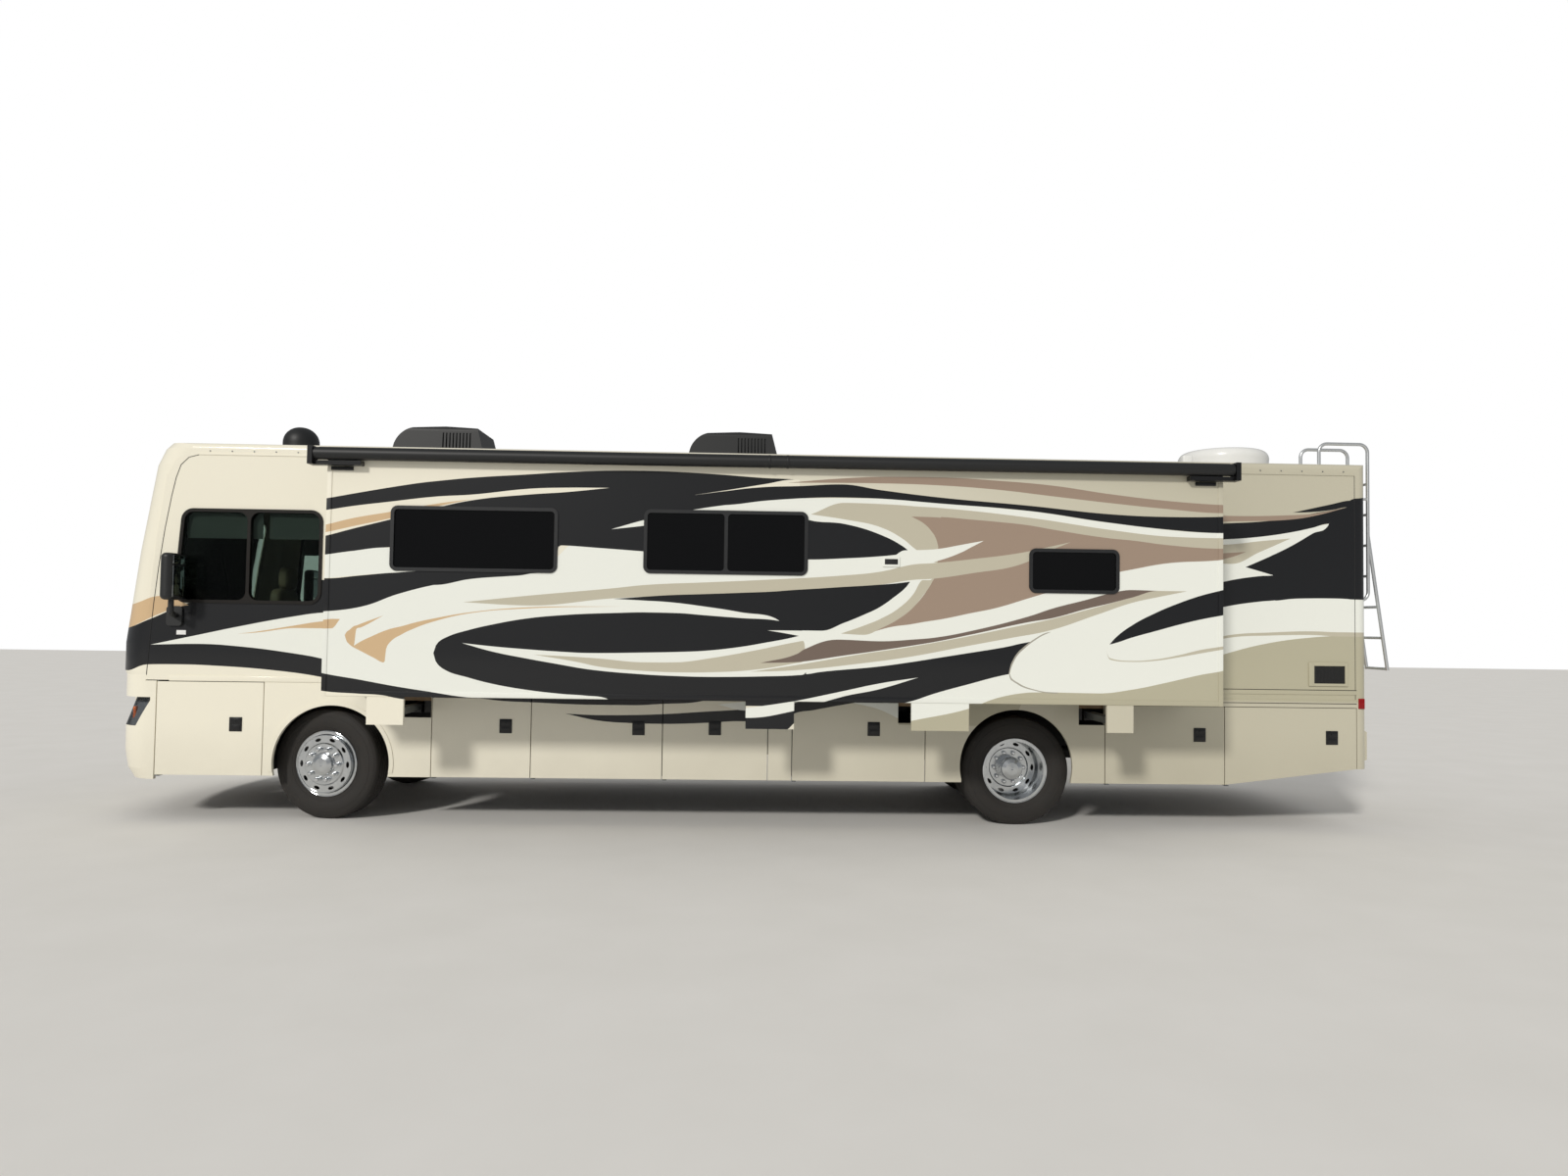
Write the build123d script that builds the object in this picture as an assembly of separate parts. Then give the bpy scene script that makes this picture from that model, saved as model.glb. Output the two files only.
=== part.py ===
from build123d import *
from math import sqrt
import os

# A full-wall slide-out motorhome on a rear-engined chassis, built in coach coordinates:
# x runs back from a zero just ahead of the front axle, y from the centreline to the kerb side
# (the driver's side is -y), and z up from the ground. Millimetres throughout.

# Body shell
half_w = 1295
wall_t = 50
skirt_t = 35
panel_gap = 8
skirt_z = 407
front_skirt_z = 405
belt_z = 1258
slide_sill_z = 1138
wall_top_z = 3341
roof_edge_z = 3443
roof_crown_z = 3520
roof_edge_r = 55
roof_t = 70
deck_top_z = 1180
deck_t = 80
deck_z0 = deck_top_z - deck_t

# Running gear
front_axle_x = 30
wheelbase = 6370
tyre_d = 1011
tyre_w = 276
bead_d = 572
rim_flange_d = 597
track_outer_y = half_w - 75
twin_gap = 35
kingpin_y = track_outer_y - 210
kingpin_r = 20
spindle_r = 40
half_shaft_r = 45
parked_steer = 10
spring_r = 95
wheel_r = tyre_d / 2
axle_z = wheel_r
rear_axle_x = front_axle_x + wheelbase
outer_wheel_y = track_outer_y - tyre_w / 2
inner_wheel_y = outer_wheel_y - tyre_w - twin_gap
twin_offset = (tyre_w + twin_gap) / 2

# Wheel arches: (centre x, centre z, radius)
front_arch = (front_axle_x + 45, axle_z + 15.5, wheel_r + 24.5)
rear_arch = (rear_axle_x - 12, axle_z + 49.5, wheel_r + 22.5)
arch_side_inset = 14
flare_w = 38
flare_proud = 7

# Front and rear caps
cap_t = 40
cap_roof_x = -1258
cap_foot_z = 365
lamp_z0 = 845
lamp_z1 = 1107
lamp_inner_y = -800
lamp_set_back = 90
lens_t = 25
pod_t = 12
nose_front_r = 3200
nose_corner_r = 330
windscreen_side = 145
windscreen_z0 = 1700
windscreen_z1 = 2960
windscreen_r = 130
grille_half_w = 520
grille_z0 = 880
grille_z1 = 1200
tail_x = rear_axle_x + 3220
tail_depth = 110
tail_corner_r = 90
tail_foot_z = 564
tail_lamp_side = 110
tail_lamp_w = 140
tail_lamp_z0 = 1080
tail_lamp_z1 = 1480
engine_door_half_w = 620
engine_door_z0 = 985
engine_door_z1 = 1560
engine_hinge_drop = 16
bumper_out = 55

# Ladder at the tail: its foot folds out from the hip
ladder_r = 16
ladder_out = 120
ladder_lean = 185
ladder_hip_z = 2788
ladder_fork_z = 2160
ladder_foot_z = 1490

# Slide-out room
slide_x0 = 281
slide_x1 = rear_axle_x + 1595
slide_z0 = 1191
slide_z1 = 3225
slide_out = 762
slide_flange = 35
slide_gap = 5
slide_wall_t = 45
slide_shell_t = 40
slide_overlap = 100
slide_face_y = -half_w - slide_out
slide_open_x0 = slide_x0 + slide_flange
slide_open_x1 = slide_x1 - slide_flange
slide_open_z0 = slide_z0 - slide_gap
slide_open_z1 = slide_z1 - 20
roller_r = 54
roller_z = 3240
roller_out = 62
roller_x0 = slide_x0 - 82
roller_x1 = slide_x1 + 62
bracket_w = 41
bracket_z0 = 3143

# Chassis
rail_outer_y = 480
rail_w = 70
rail_z0 = 740
rail_z1 = 990
rail_web = 10
rail_front_x = -1350
rail_rear_x = tail_x - 200
jack_pad_l = 120
jack_pad_w = 50
jack_pad_t = 20
member_w = 40
member_inset = 60
sill_w = 60
arm_w = 80
arm_z0 = 1010
arm_z1 = 1070
arm_inner_y = 440
arm_guide_t = 8
arm_guide_gap = 6
seat_gap = 0.3
receiver_w = 63.5
receiver_bore = 51
receiver_z = 500
receiver_tip_x = tail_x + 180
receiver_pin_r = 8.3
engine_x0 = rear_axle_x + 1920
engine_l = 1020
engine_z0 = 560
engine_z1 = 1080
shaft_r = 50

# Crossmembers between the rails, the sills that carry the deck over them, and the jacking pads: each
# one's front edge
crossmembers = [-1300, -600, 620, 1500, 2600, 3800, rear_axle_x - 1500, rear_axle_x - 700,
                rear_axle_x + 700, rear_axle_x + 1750, rear_axle_x + 2980]
deck_sills = [-1340, -420, 420, 900, 1850, 2400, 3500, 4700, rear_axle_x - 650, rear_axle_x + 560,
              rear_axle_x + 1300, rear_axle_x + 1840, rear_axle_x + 2960]
jack_pads = [-960, rear_axle_x + 1140]

# Doors and bays
hinge_inset = 6
hinge_pin_r = 4
hinge_reach = 30
bay_floor_z = 425
bay_top_z = 985
tub_t = 12
tub_gap = 5
tub_outer_y = half_w - skirt_t - 12
entry_x0 = 1010
entry_x1 = 1730
entry_z0 = 560
entry_z1 = 2930
step_well_y = half_w - 675
step_rise = 207

# Slide-out arms, each behind a cover: (cover x0, cover x1)
arm_covers = [(662, 971), (3865, 4279), (rear_axle_x - 1114, rear_axle_x - 617),
              (rear_axle_x + 580, rear_axle_x + 811)]
cover_z0 = 955
cover_t = 35
cover_clear = 7

# The seam between the front cap and the walls, seen from the side: (x, z)
cap_seam = [(-1515, 300), (-1515, belt_z), (-1613, belt_z), (-1613, 1640), (-1602, 2053),
            (-1557, 2581), (-1484, 3139), (-1400, 3300), (cap_roof_x, wall_top_z)]

# The front cap's leading edge on the centreline, from the bumper up: (z, x)
nose_line = [(300, -1945), (460, -2050), (620, -2080), (1310, -2088), (1345, -2106), (1600, -2106),
             (2450, -2000), (3080, -1897)]

# The domed brow over it: (z, how far the tip is set back, how far the whole plan is drawn in)
brow = [(3250, 0, 0), (3400, 45, 0), (3470, 60, 40), (3530, 80, 200)]

# Bay doors: (name, x0, x1, lower edge at x0, lower edge at x1, top, notch x, notch z). The notch clears
# the cover of a slide-out arm and takes away the door's upper rear corner.
front_door_x0 = -1509
front_door_x1 = -545
bay_a_x = 983
bay_b_x = 1889
bay_c_x = 3096
filler_x0 = 4069
filler_x1 = 4294
rear_panel_x0 = rear_axle_x - 866
rear_panel_x1 = rear_axle_x + 823
bay_e_x1 = rear_axle_x + 1956
front_door_top = belt_z - 6
door_top = slide_sill_z - 6
notch_z = cover_z0 - panel_gap
front_door = (front_door_x0, front_door_x1, front_skirt_z, front_skirt_z, front_door_top, None, None)
left_doors = [
    ("left_front_bay_door", *front_door),
    ("left_bay_door_a", bay_a_x, bay_b_x, skirt_z, skirt_z, door_top, None, None),
    ("left_bay_door_b", bay_b_x, bay_c_x, skirt_z, skirt_z, door_top, None, None),
    ("left_bay_door_c", bay_c_x, filler_x0, skirt_z, skirt_z, door_top, arm_covers[1][0] - cover_clear,
     notch_z),
    ("left_bay_door_d", filler_x1, rear_panel_x0, skirt_z, skirt_z, door_top, arm_covers[2][0] - cover_clear,
     notch_z),
    ("left_bay_door_e", rear_panel_x1, bay_e_x1, skirt_z, skirt_z, door_top, None, None),
    ("left_engine_side_door", bay_e_x1, tail_x - 3, skirt_z, tail_foot_z, door_top, None, None),
]
right_doors = [
    ("right_front_bay_door", *front_door),
    ("right_bay_door_a", bay_b_x, bay_c_x, skirt_z, skirt_z, door_top, None, None),
    ("right_bay_door_b", bay_c_x, filler_x1, skirt_z, skirt_z, door_top, None, None),
    ("right_bay_door_c", rear_panel_x1, bay_e_x1, skirt_z, skirt_z, door_top, None, None),
]

# Windows in the walls: (x0, x1, z0, z1, corner radius, number of panes, lean of the front edge)
cab_window = (-1391, -53, 1972, 2840, 110, 2, 60)
left_windows = [cab_window]
right_windows = [
    cab_window,
    (2150, 3560, 2259, 2815, 60, 2, 0),
    (4400, 5500, 2259, 2815, 60, 1, 0),
    (rear_axle_x + 100, rear_axle_x + 900, 2152, 2700, 60, 1, 0),
    (rear_axle_x + 1800, rear_axle_x + 2600, 2152, 2700, 60, 1, 0),
]
slide_windows = [
    (824, 2239, 2259, 2815, 60, 1, 0),
    (2971, 4379, 2270, 2820, 60, 2, 0),
    (rear_axle_x - 104, rear_axle_x + 684, 2152, 2538, 60, 1, 0),
]
frame_w = 30
frame_proud = 10
glass_t = 8


def box(x0, x1, y0, y1, z0, z1):
    """A plain block between its limits."""
    return Pos((x0 + x1) / 2, (y0 + y1) / 2, (z0 + z1) / 2) * Box(x1 - x0, y1 - y0, z1 - z0)


def rod(radius, start, end):
    """A round bar between two points."""
    run = Vector(*end) - Vector(*start)
    return extrude(Plane(origin=Vector(*start), z_dir=run) * Circle(radius), run.length)


def across(face, y0, y1):
    """A face drawn as (x, z), seen from the side, made into a plate from y0 to y1."""
    return Pos(0, y1, 0) * extrude(Plane.XZ * face, y1 - y0)


def along(face, x0, x1):
    """A face drawn as (y, z) made into a bar from x0 to x1."""
    return Pos(x0, 0, 0) * extrude(Plane.YZ * face, x1 - x0)


def upward(face, z0, z1):
    """A face drawn as (x, y), seen from above, made into a slab from z0 to z1."""
    return Pos(0, 0, z0) * extrude(face, z1 - z0)


def outline(*points):
    """A closed face with straight edges."""
    return make_face(Polyline(*points, close=True))


def rounded(x0, x1, z0, z1, radius, lean=0):
    """A face with rounded corners, whose edge at x0 leans back by lean at the top."""
    face = outline((x0, z0), (x1, z0), (x1, z1), (x0 + lean, z1))
    return fillet(face.vertices(), radius)


def mirrored(shape):
    """The same piece on the coach's other side."""
    return mirror(shape, Plane.XZ)


def joined(pieces):
    """Several solids in one shape, fused where they touch."""
    whole = pieces[0]
    for piece in pieces[1:]:
        whole = whole + piece
    return whole


def both_sides(shape):
    return joined([shape, mirrored(shape)])


# Moulded shells


def body_section(inset, low):
    """The coach seen from behind, drawn in from its skin by inset, with a crowned roof."""
    side = half_w - inset
    edge = roof_edge_z - inset
    crown = roof_crown_z - inset
    lower = Polyline((-side, edge), (-side, low), (side, low), (side, edge))
    face = make_face(lower + ThreePointArc((side, edge), (0, crown), (-side, edge)))
    return fillet(face.vertices().sort_by(Axis.Y)[-2:], roof_edge_r)


def nose_plan(nose_x, inset, back_x):
    """The front cap's plan: a gently curved front and two round corners."""
    side = half_w - inset
    front_r = nose_front_r - inset
    corner_r = nose_corner_r - inset
    tip = nose_x + inset
    centre_x = tip + front_r
    corner_y = side - corner_r
    corner_x = centre_x - sqrt((front_r - corner_r) ** 2 - corner_y ** 2)
    reach = corner_r / (front_r - corner_r)
    outward = Vector(corner_x - centre_x, corner_y) * reach
    bend = (outward + Vector(0, corner_r)).normalized() * corner_r
    meet = (corner_x + outward.X, corner_y + outward.Y)
    middle = (corner_x + bend.X, corner_y + bend.Y)
    lines = Polyline((corner_x, -side), (back_x, -side), (back_x, side), (corner_x, side))
    kerb = ThreePointArc((corner_x, side), middle, meet)
    front = ThreePointArc(meet, (tip, 0), (meet[0], -meet[1]))
    driver = ThreePointArc((meet[0], -meet[1]), (middle[0], -middle[1]), (corner_x, -side))
    return make_face(lines + kerb + front + driver)


def roof_z_at(y):
    """The height of the crowned roof's skin at a distance from the centreline."""
    rise = roof_crown_z - roof_edge_z
    radius = (half_w ** 2 + rise ** 2) / (2 * rise)
    return roof_crown_z - radius + sqrt(radius ** 2 - y ** 2)


def nose_x_at(z):
    """The front cap's line on the centreline at a height, carried on above its last point."""
    for (z_a, x_a), (z_b, x_b) in zip(nose_line, nose_line[1:]):
        if z <= z_b:
            break
    return x_a + (x_b - x_a) * (z - z_a) / (z_b - z_a)


def stacked(levels):
    """The front cap's plans at (z, tip x, inset), joined by straight sides."""
    back_x = cap_roof_x + 40
    return loft([Pos(0, 0, z) * nose_plan(x, inset, back_x) for z, x, inset in levels], ruled=True)


def nose_solid(inset, foot_z=cap_foot_z):
    """The front cap as a full block, drawn in from its skin by inset."""
    face = [(z, x, inset) for z, x in nose_line]
    top = [(z - inset, nose_x_at(z) + shift, inset + drawn_in) for z, shift, drawn_in in brow]
    block = stacked(face + top) & along(body_section(inset, 200), -2500, cap_roof_x + 40)
    return block - box(-2500, 0, -half_w - 10, half_w + 10, 0, foot_z + inset)


def ahead_of_seam():
    """The side view of all that lies ahead of the front cap's seam."""
    return outline(*cap_seam, (cap_roof_x, 3800), (-2600, 3800), (-2600, 300))


def behind_seam(shape):
    return shape - across(ahead_of_seam(), -half_w - 60, half_w + 60)


def make_front_cap(skin, lining):
    """The moulded front with its windscreen and grille openings and lined lamp pods."""
    shell = (skin - lining) & across(ahead_of_seam(), -half_w - 60, half_w + 60)
    shell = shell - along(windscreen_face(0), -2600, -1640)
    shell = shell - along(grille_face(0), -2600, -1700)
    depth = lamp_set_back + lens_t + pod_t
    pod = (lamp_prism(pod_t) - lamp_prism(0)) & skin
    pod = pod - stacked([(z, nose_x_at(lamp_z1), depth) for z in (lamp_z0 - 50, lamp_z1 + 50)])
    return shell - both_sides(lamp_prism(0)) + both_sides(pod)


def windscreen_face(margin):
    """The windscreen seen from the front."""
    side = half_w - windscreen_side - margin
    return rounded(-side, side, windscreen_z0 + margin, windscreen_z1 - margin, windscreen_r - margin)


def grille_face(margin):
    """The grille's opening seen from the front."""
    side = grille_half_w - margin
    return rounded(-side, side, grille_z0 + margin, grille_z1 - margin, 60 - margin)


def lamp_prism(margin):
    """The block that a headlamp pod takes out of the cap's driver's-side corner, grown by margin."""
    face = outline(
        (-1565 + margin, lamp_z1 + margin),
        (-1565 + margin, lamp_z1 - 30),
        (-1700 + margin, lamp_z0 - margin),
        (-2300, lamp_z0 - margin),
        (-2300, lamp_z1 + margin),
    )
    return across(face, -half_w - 60, lamp_inner_y + margin)


def make_windscreen():
    """Laminated glass that follows the cap's curve, just inside its skin."""
    pane = nose_solid(10) - nose_solid(10 + glass_t)
    return pane & along(windscreen_face(seat_gap), -2600, -1640)


def make_grille(skin, lining):
    """A rim and level bars in the cap's front opening, following its curve."""
    plug = (skin - lining) & along(grille_face(seat_gap), -2600, -1700)
    holes = [box(-2600, -1600, 40 - grille_half_w, grille_half_w - 40, grille_z0 + z, grille_z0 + z + 42)
             for z in range(32, 250, 62)]
    return plug - joined(holes)


def make_headlamps():
    """Lenses that lean back from the bumper's skin to the shelf over them, round each front corner."""
    low, high = lamp_z0 - 5, lamp_z1 + 5
    outer = stacked([(low, nose_x_at(low), 0), (high, nose_x_at(high), lamp_set_back)])
    inner = stacked([(low - 5, nose_x_at(low), lens_t), (high + 5, nose_x_at(high), lamp_set_back + lens_t)])
    return both_sides((outer - inner) & lamp_prism(-seat_gap))


def make_roof():
    """The crowned roof shell over the walls."""
    shell = along(body_section(0, wall_top_z), cap_roof_x, tail_x)
    inner = along(body_section(roof_t, wall_top_z - 200), cap_roof_x - 10, tail_x + 10)
    return shell - inner


def tail_block(inset, low):
    """The tail as a full block, drawn in from its skin by inset."""
    deep = tail_x + tail_depth - inset
    side = half_w - inset
    plan = outline((tail_x - inset, -side), (deep, -side), (deep, side), (tail_x - inset, side))
    plan = fillet(plan.vertices().sort_by(Axis.X)[-2:], tail_corner_r - inset)
    return upward(plan, low, roof_crown_z + 20) & along(body_section(inset, low), tail_x - inset, deep)


def make_rear_cap():
    """The moulded tail: a closed rear wall, round corners and a bumper that bulges out."""
    deep = tail_x + tail_depth
    shell = tail_block(0, tail_foot_z) - tail_block(wall_t, tail_foot_z - 50)
    far = deep + bumper_out
    bumper_side = outline((deep - 30, 600), (far, 640), (far, 900), (deep - 30, 960))
    shell = shell + across(bumper_side, -half_w + 120, half_w - 120)
    hole = rounded(-engine_door_half_w, engine_door_half_w, engine_door_z0, engine_door_z1, 10)
    shell = shell - along(hole, deep - 200, deep + 200)
    return shell - both_sides(along(tail_lamp_face(0), deep - 40, deep + 100))


def tail_lamp_face(margin):
    """A tail lamp seen from behind, on the driver's side."""
    y0 = -half_w + tail_lamp_side
    return rounded(y0 + margin, y0 + tail_lamp_w - margin, tail_lamp_z0 + margin, tail_lamp_z1 - margin, 19)


def wall_outline():
    """A side wall seen from the side, above the bay doors and up to the roof."""
    return outline(
        (-1800, belt_z + panel_gap),
        (slide_x0 - 6, belt_z + panel_gap),
        (slide_x0 - 6, slide_sill_z),
        (tail_x, slide_sill_z),
        (tail_x, wall_top_z),
        (-1800, wall_top_z),
    )


def window_cut(window, y0, y1):
    x0, x1, z0, z1, radius, _, lean = window
    return across(rounded(x0 - seat_gap, x1 + seat_gap, z0 - seat_gap, z1 + seat_gap, radius, lean), y0, y1)


def make_left_wall():
    """The driver's-side wall, open for most of its length to the slide-out room."""
    wall = behind_seam(across(wall_outline(), -half_w, -half_w + wall_t))
    wall = wall - box(slide_open_x0, slide_open_x1, -half_w - 10, -half_w + wall_t + 10,
                      slide_open_z0, slide_open_z1)
    for window in left_windows:
        wall = wall - window_cut(window, -half_w - 10, -half_w + wall_t + 10)
    return wall


def make_right_wall():
    """The kerb-side wall with its windows and the entry door's opening."""
    wall = behind_seam(across(wall_outline(), half_w - wall_t, half_w))
    for window in right_windows:
        wall = wall - window_cut(window, half_w - wall_t - 10, half_w + 10)
    return wall - box(entry_x0 - panel_gap, entry_x1 + panel_gap, 0, half_w + 10, 0, entry_z1 + panel_gap)


def window_frame(window, outer_y, inward, depth):
    """A frame in its opening: a body through the wall and a flange on the outer skin."""
    x0, x1, z0, z1, radius, panes, lean = window
    inner_r = max(radius - frame_w, 12)
    proud_y = outer_y - inward * frame_proud
    deep_y = outer_y + inward * depth
    body = across(rounded(x0, x1, z0, z1, radius, lean), min(proud_y, deep_y), max(proud_y, deep_y))
    pane_w = (x1 - x0 - frame_w * (panes + 1)) / panes
    for i in range(panes):
        left = x0 + frame_w + i * (pane_w + frame_w)
        hole = rounded(left, left + pane_w, z0 + frame_w, z1 - frame_w, inner_r, 0 if i else lean)
        body = body - across(hole, outer_y - 100, outer_y + 100)
    return body


def window_panes(window, outer_y, inward):
    x0, x1, z0, z1, radius, panes, lean = window
    inner_r = max(radius - frame_w, 12)
    near = outer_y + inward * 6
    far = near + inward * glass_t
    pane_w = (x1 - x0 - frame_w * (panes + 1)) / panes
    made = []
    for i in range(panes):
        left = x0 + frame_w + i * (pane_w + frame_w) + seat_gap
        face = rounded(left, left + pane_w - 2 * seat_gap, z0 + frame_w + seat_gap,
                       z1 - frame_w - seat_gap, inner_r, 0 if i else lean)
        made.append(across(face, min(near, far), max(near, far)))
    return joined(made)


def arch_cut(arch, y0, y1):
    x, z, radius = arch
    side = radius - arch_side_inset
    return across(Pos(x, z) * Circle(radius), y0, y1) + box(x - side, x + side, y0, y1, 200, z)


def arch_flare(arch):
    """The raised lip round the upper half of a wheel arch, on the driver's side."""
    x, z, radius = arch
    ring = Pos(x, z) * (Circle(radius + flare_w) - Circle(radius))
    return across(ring, -half_w - flare_proud, -half_w) & box(x - 900, x + 900, -half_w - 50, 0, z - 80, 2000)


def cover_notches():
    """The gaps in the driver's-side skirt that the slide-out's arms reach out through."""
    return joined([box(x0 - 6, x1 + 6, -half_w - 20, -half_w + wall_t + 20, cover_z0 - 6, slide_sill_z + 1)
                   for x0, x1 in arm_covers])


def skirt_panel(x0, x1):
    """A fixed panel between two door seams, on the driver's side."""
    half = panel_gap / 2
    return box(x0 + half, x1 - half, -half_w, -half_w + skirt_t, skirt_z, slide_sill_z)


def make_skirts():
    """The fixed lower panels of both sides, round the wheel arches and between the doors."""
    half = panel_gap / 2
    top = slide_sill_z
    y0, y1 = -half_w, -half_w + skirt_t
    front = outline(
        (front_door_x1 + half, front_skirt_z),
        (bay_a_x - half, front_skirt_z),
        (bay_a_x - half, top),
        (slide_x0 - 6, top),
        (slide_x0 - 6, belt_z + panel_gap),
        (front_door_x1 + half, belt_z + panel_gap),
    )
    front_panel = across(front, y0, y1) - arch_cut(front_arch, y0 - 5, y1 + 5) + arch_flare(front_arch)
    rear_panel = skirt_panel(rear_panel_x0, rear_panel_x1) - arch_cut(rear_arch, y0 - 5, y1 + 5)
    left = [front_panel, rear_panel, skirt_panel(filler_x0, filler_x1)]
    right = [mirrored(front_panel), mirrored(rear_panel)]
    right += [mirrored(skirt_panel(bay_a_x, bay_b_x)), mirrored(skirt_panel(filler_x1, rear_panel_x0))]
    tail = outline((bay_e_x1 + half, skirt_z), (tail_x, tail_foot_z), (tail_x, top), (bay_e_x1 + half, top))
    louvre_x = bay_e_x1 + 150
    louvres = joined([box(louvre_x, louvre_x + 700, y0 - 5, y1 + 5, z, z + 16) for z in range(640, 1000, 40)])
    right.append(mirrored(across(tail, y0, y1) - louvres))
    notches = cover_notches()
    entry = box(entry_x0 - panel_gap, entry_x1 + panel_gap, 0, half_w + 10, entry_z0 - panel_gap, 1300)
    return joined([piece - notches for piece in left] + [piece - entry for piece in right])


# Doors


def bay_door(row):
    """A side-hinged bay door on the driver's side, with pivot holes in its front corners."""
    _, x0, x1, low0, low1, top, notch_x, notch_z = row
    half = panel_gap / 2
    face = outline((x0 + half, low0), (x1 - half, low1), (x1 - half, top), (x0 + half, top))
    door = across(face, -half_w, -half_w + skirt_t)
    if notch_x:
        door = door - box(notch_x, x1 + 10, -half_w - 10, -half_w + skirt_t + 10, notch_z, top + 10)
    x, y = hinge_axis(row)
    return door - rod(hinge_pin_r + seat_gap, (x, y, 0), (x, y, 2000))


def hinge_axis(row):
    return row[1] + panel_gap / 2 + hinge_inset, -half_w + hinge_inset


def hinge_set(row):
    """A door's two pivots: one hangs from the wall above, one stands on a bracket off the bay floor."""
    x, y = hinge_axis(row)
    ceiling = belt_z + panel_gap if row[5] == front_door_top else slide_sill_z
    low = row[3]
    top_pin = rod(hinge_pin_r, (x, y, row[5] - hinge_reach), (x, y, ceiling))
    foot = box(x - 6, x + 30, y - 4, -half_w + skirt_t + 40, low - 12, low - 6)
    leg = box(x - 6, x + 30, -half_w + skirt_t + 30, -half_w + skirt_t + 40, low - 12, bay_floor_z)
    return [top_pin, foot + leg + rod(hinge_pin_r, (x, y, low - 8), (x, y, low + hinge_reach))]


def make_entry_door():
    """The kerb-side entry door with its window."""
    door = box(entry_x0, entry_x1, half_w - wall_t, half_w, entry_z0, entry_z1)
    door = door - across(rounded(entry_x0 + 130, entry_x1 - 130, 2050, 2760, 50), half_w - 100, half_w + 100)
    x, y = entry_x0 + hinge_inset, half_w - hinge_inset
    return door - rod(hinge_pin_r + seat_gap, (x, y, 0), (x, y, 4000))


def make_engine_door():
    """The louvred engine door in the tail, hung from its top edge."""
    deep = tail_x + tail_depth
    side = engine_door_half_w - panel_gap
    door = box(deep - skirt_t, deep, -side, side, engine_door_z0 + panel_gap, engine_door_z1 - panel_gap)
    slots = [box(deep - 60, deep + 20, -420, 420, z, z + 14) for z in range(1100, 1400, 40)]
    door = door - joined(slots)
    x, z = engine_hinge()
    return door - rod(hinge_pin_r + seat_gap, (x, -3000, z), (x, 3000, z))


def engine_hinge():
    return tail_x + tail_depth - panel_gap, engine_door_z1 - engine_hinge_drop


# Chassis


def channel(y_out, x0, x1):
    """A C-section rail with its web on the outside."""
    solid = box(x0, x1, y_out, y_out + rail_w, rail_z0, rail_z1)
    z0, z1 = rail_z0 + rail_web, rail_z1 - rail_web
    return solid - box(x0 - 5, x1 + 5, y_out + rail_web, y_out + rail_w + 5, z0, z1)


def arm_x(cover):
    return (cover[0] + cover[1]) / 2


def frame_rail():
    """The driver's-side rail with its jacking pads."""
    rail = channel(-rail_outer_y, rail_front_x, rail_rear_x)
    pad_y = -rail_outer_y + rail_web
    for x in jack_pads:
        rail = rail + box(x, x + jack_pad_l, pad_y, pad_y + jack_pad_w, rail_z0 - jack_pad_t, rail_z0)
    return rail


def arm_guide(cover):
    """The open-topped channel that a slide-out arm runs in."""
    x = arm_x(cover)
    inside = arm_w / 2 + arm_guide_gap
    half = inside + arm_guide_t
    guide = box(x - half, x + half, -half_w + wall_t, -rail_outer_y + rail_w, rail_z1 + seat_gap, arm_z1)
    return guide - box(x - inside, x + inside, -half_w, 0, arm_z0 - seat_gap, arm_z1 + 10)


def hitch_receiver():
    """The square socket and the plate that hangs it under the rails."""
    half = receiver_w / 2
    bore = receiver_bore / 2
    plate_x = rail_rear_x - member_w
    tube = box(plate_x - 35, receiver_tip_x, -half, half, receiver_z - half, receiver_z + half)
    tube = tube - box(rail_rear_x - 20, receiver_tip_x + 5, -bore, bore, receiver_z - bore, receiver_z + bore)
    pin_x = receiver_tip_x - receiver_w
    tube = tube - rod(receiver_pin_r, (pin_x, -100, receiver_z), (pin_x, 100, receiver_z))
    plate = box(plate_x, rail_rear_x, -rail_outer_y, rail_outer_y, receiver_z - 38, rail_z0 - seat_gap)
    window = box(plate_x - 5, rail_rear_x + 5, 1 - half, half - 1, receiver_z - 25, receiver_z + 25)
    return tube + (plate - window)


def make_chassis_frame():
    """Two long rails, their crossmembers, the sills under the deck, the arm guides and the hitch receiver."""
    inner = rail_outer_y - rail_web - seat_gap
    side = half_w - wall_t
    pieces = [frame_rail(), mirrored(frame_rail()), hitch_receiver()]
    for x in crossmembers:
        pieces.append(box(x, x + member_w, -inner, inner, rail_z0 + member_inset, rail_z1 - member_inset))
    for x in deck_sills:
        pieces.append(box(x, x + sill_w, -side, side, rail_z1 + seat_gap, deck_z0))
    for cover in arm_covers:
        pieces.append(arm_guide(cover))
    return joined(pieces)


def make_deck(lining):
    """The sandwich floor, cut to the nose and open over the entry steps."""
    slab = box(-2000, tail_x - 1, -half_w + wall_t, half_w - wall_t, deck_z0, deck_top_z)
    room = lining + box(cap_roof_x, tail_x + 10, -half_w, half_w, 0, 3000)
    slab = (slab & room) - both_sides(lamp_prism(pod_t + 5))
    slab = slab - box(entry_x0 - 4, entry_x1 + 4, step_well_y + 10, half_w, deck_z0 - 100, deck_top_z + 100)
    return slab + make_entry_steps()


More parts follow.
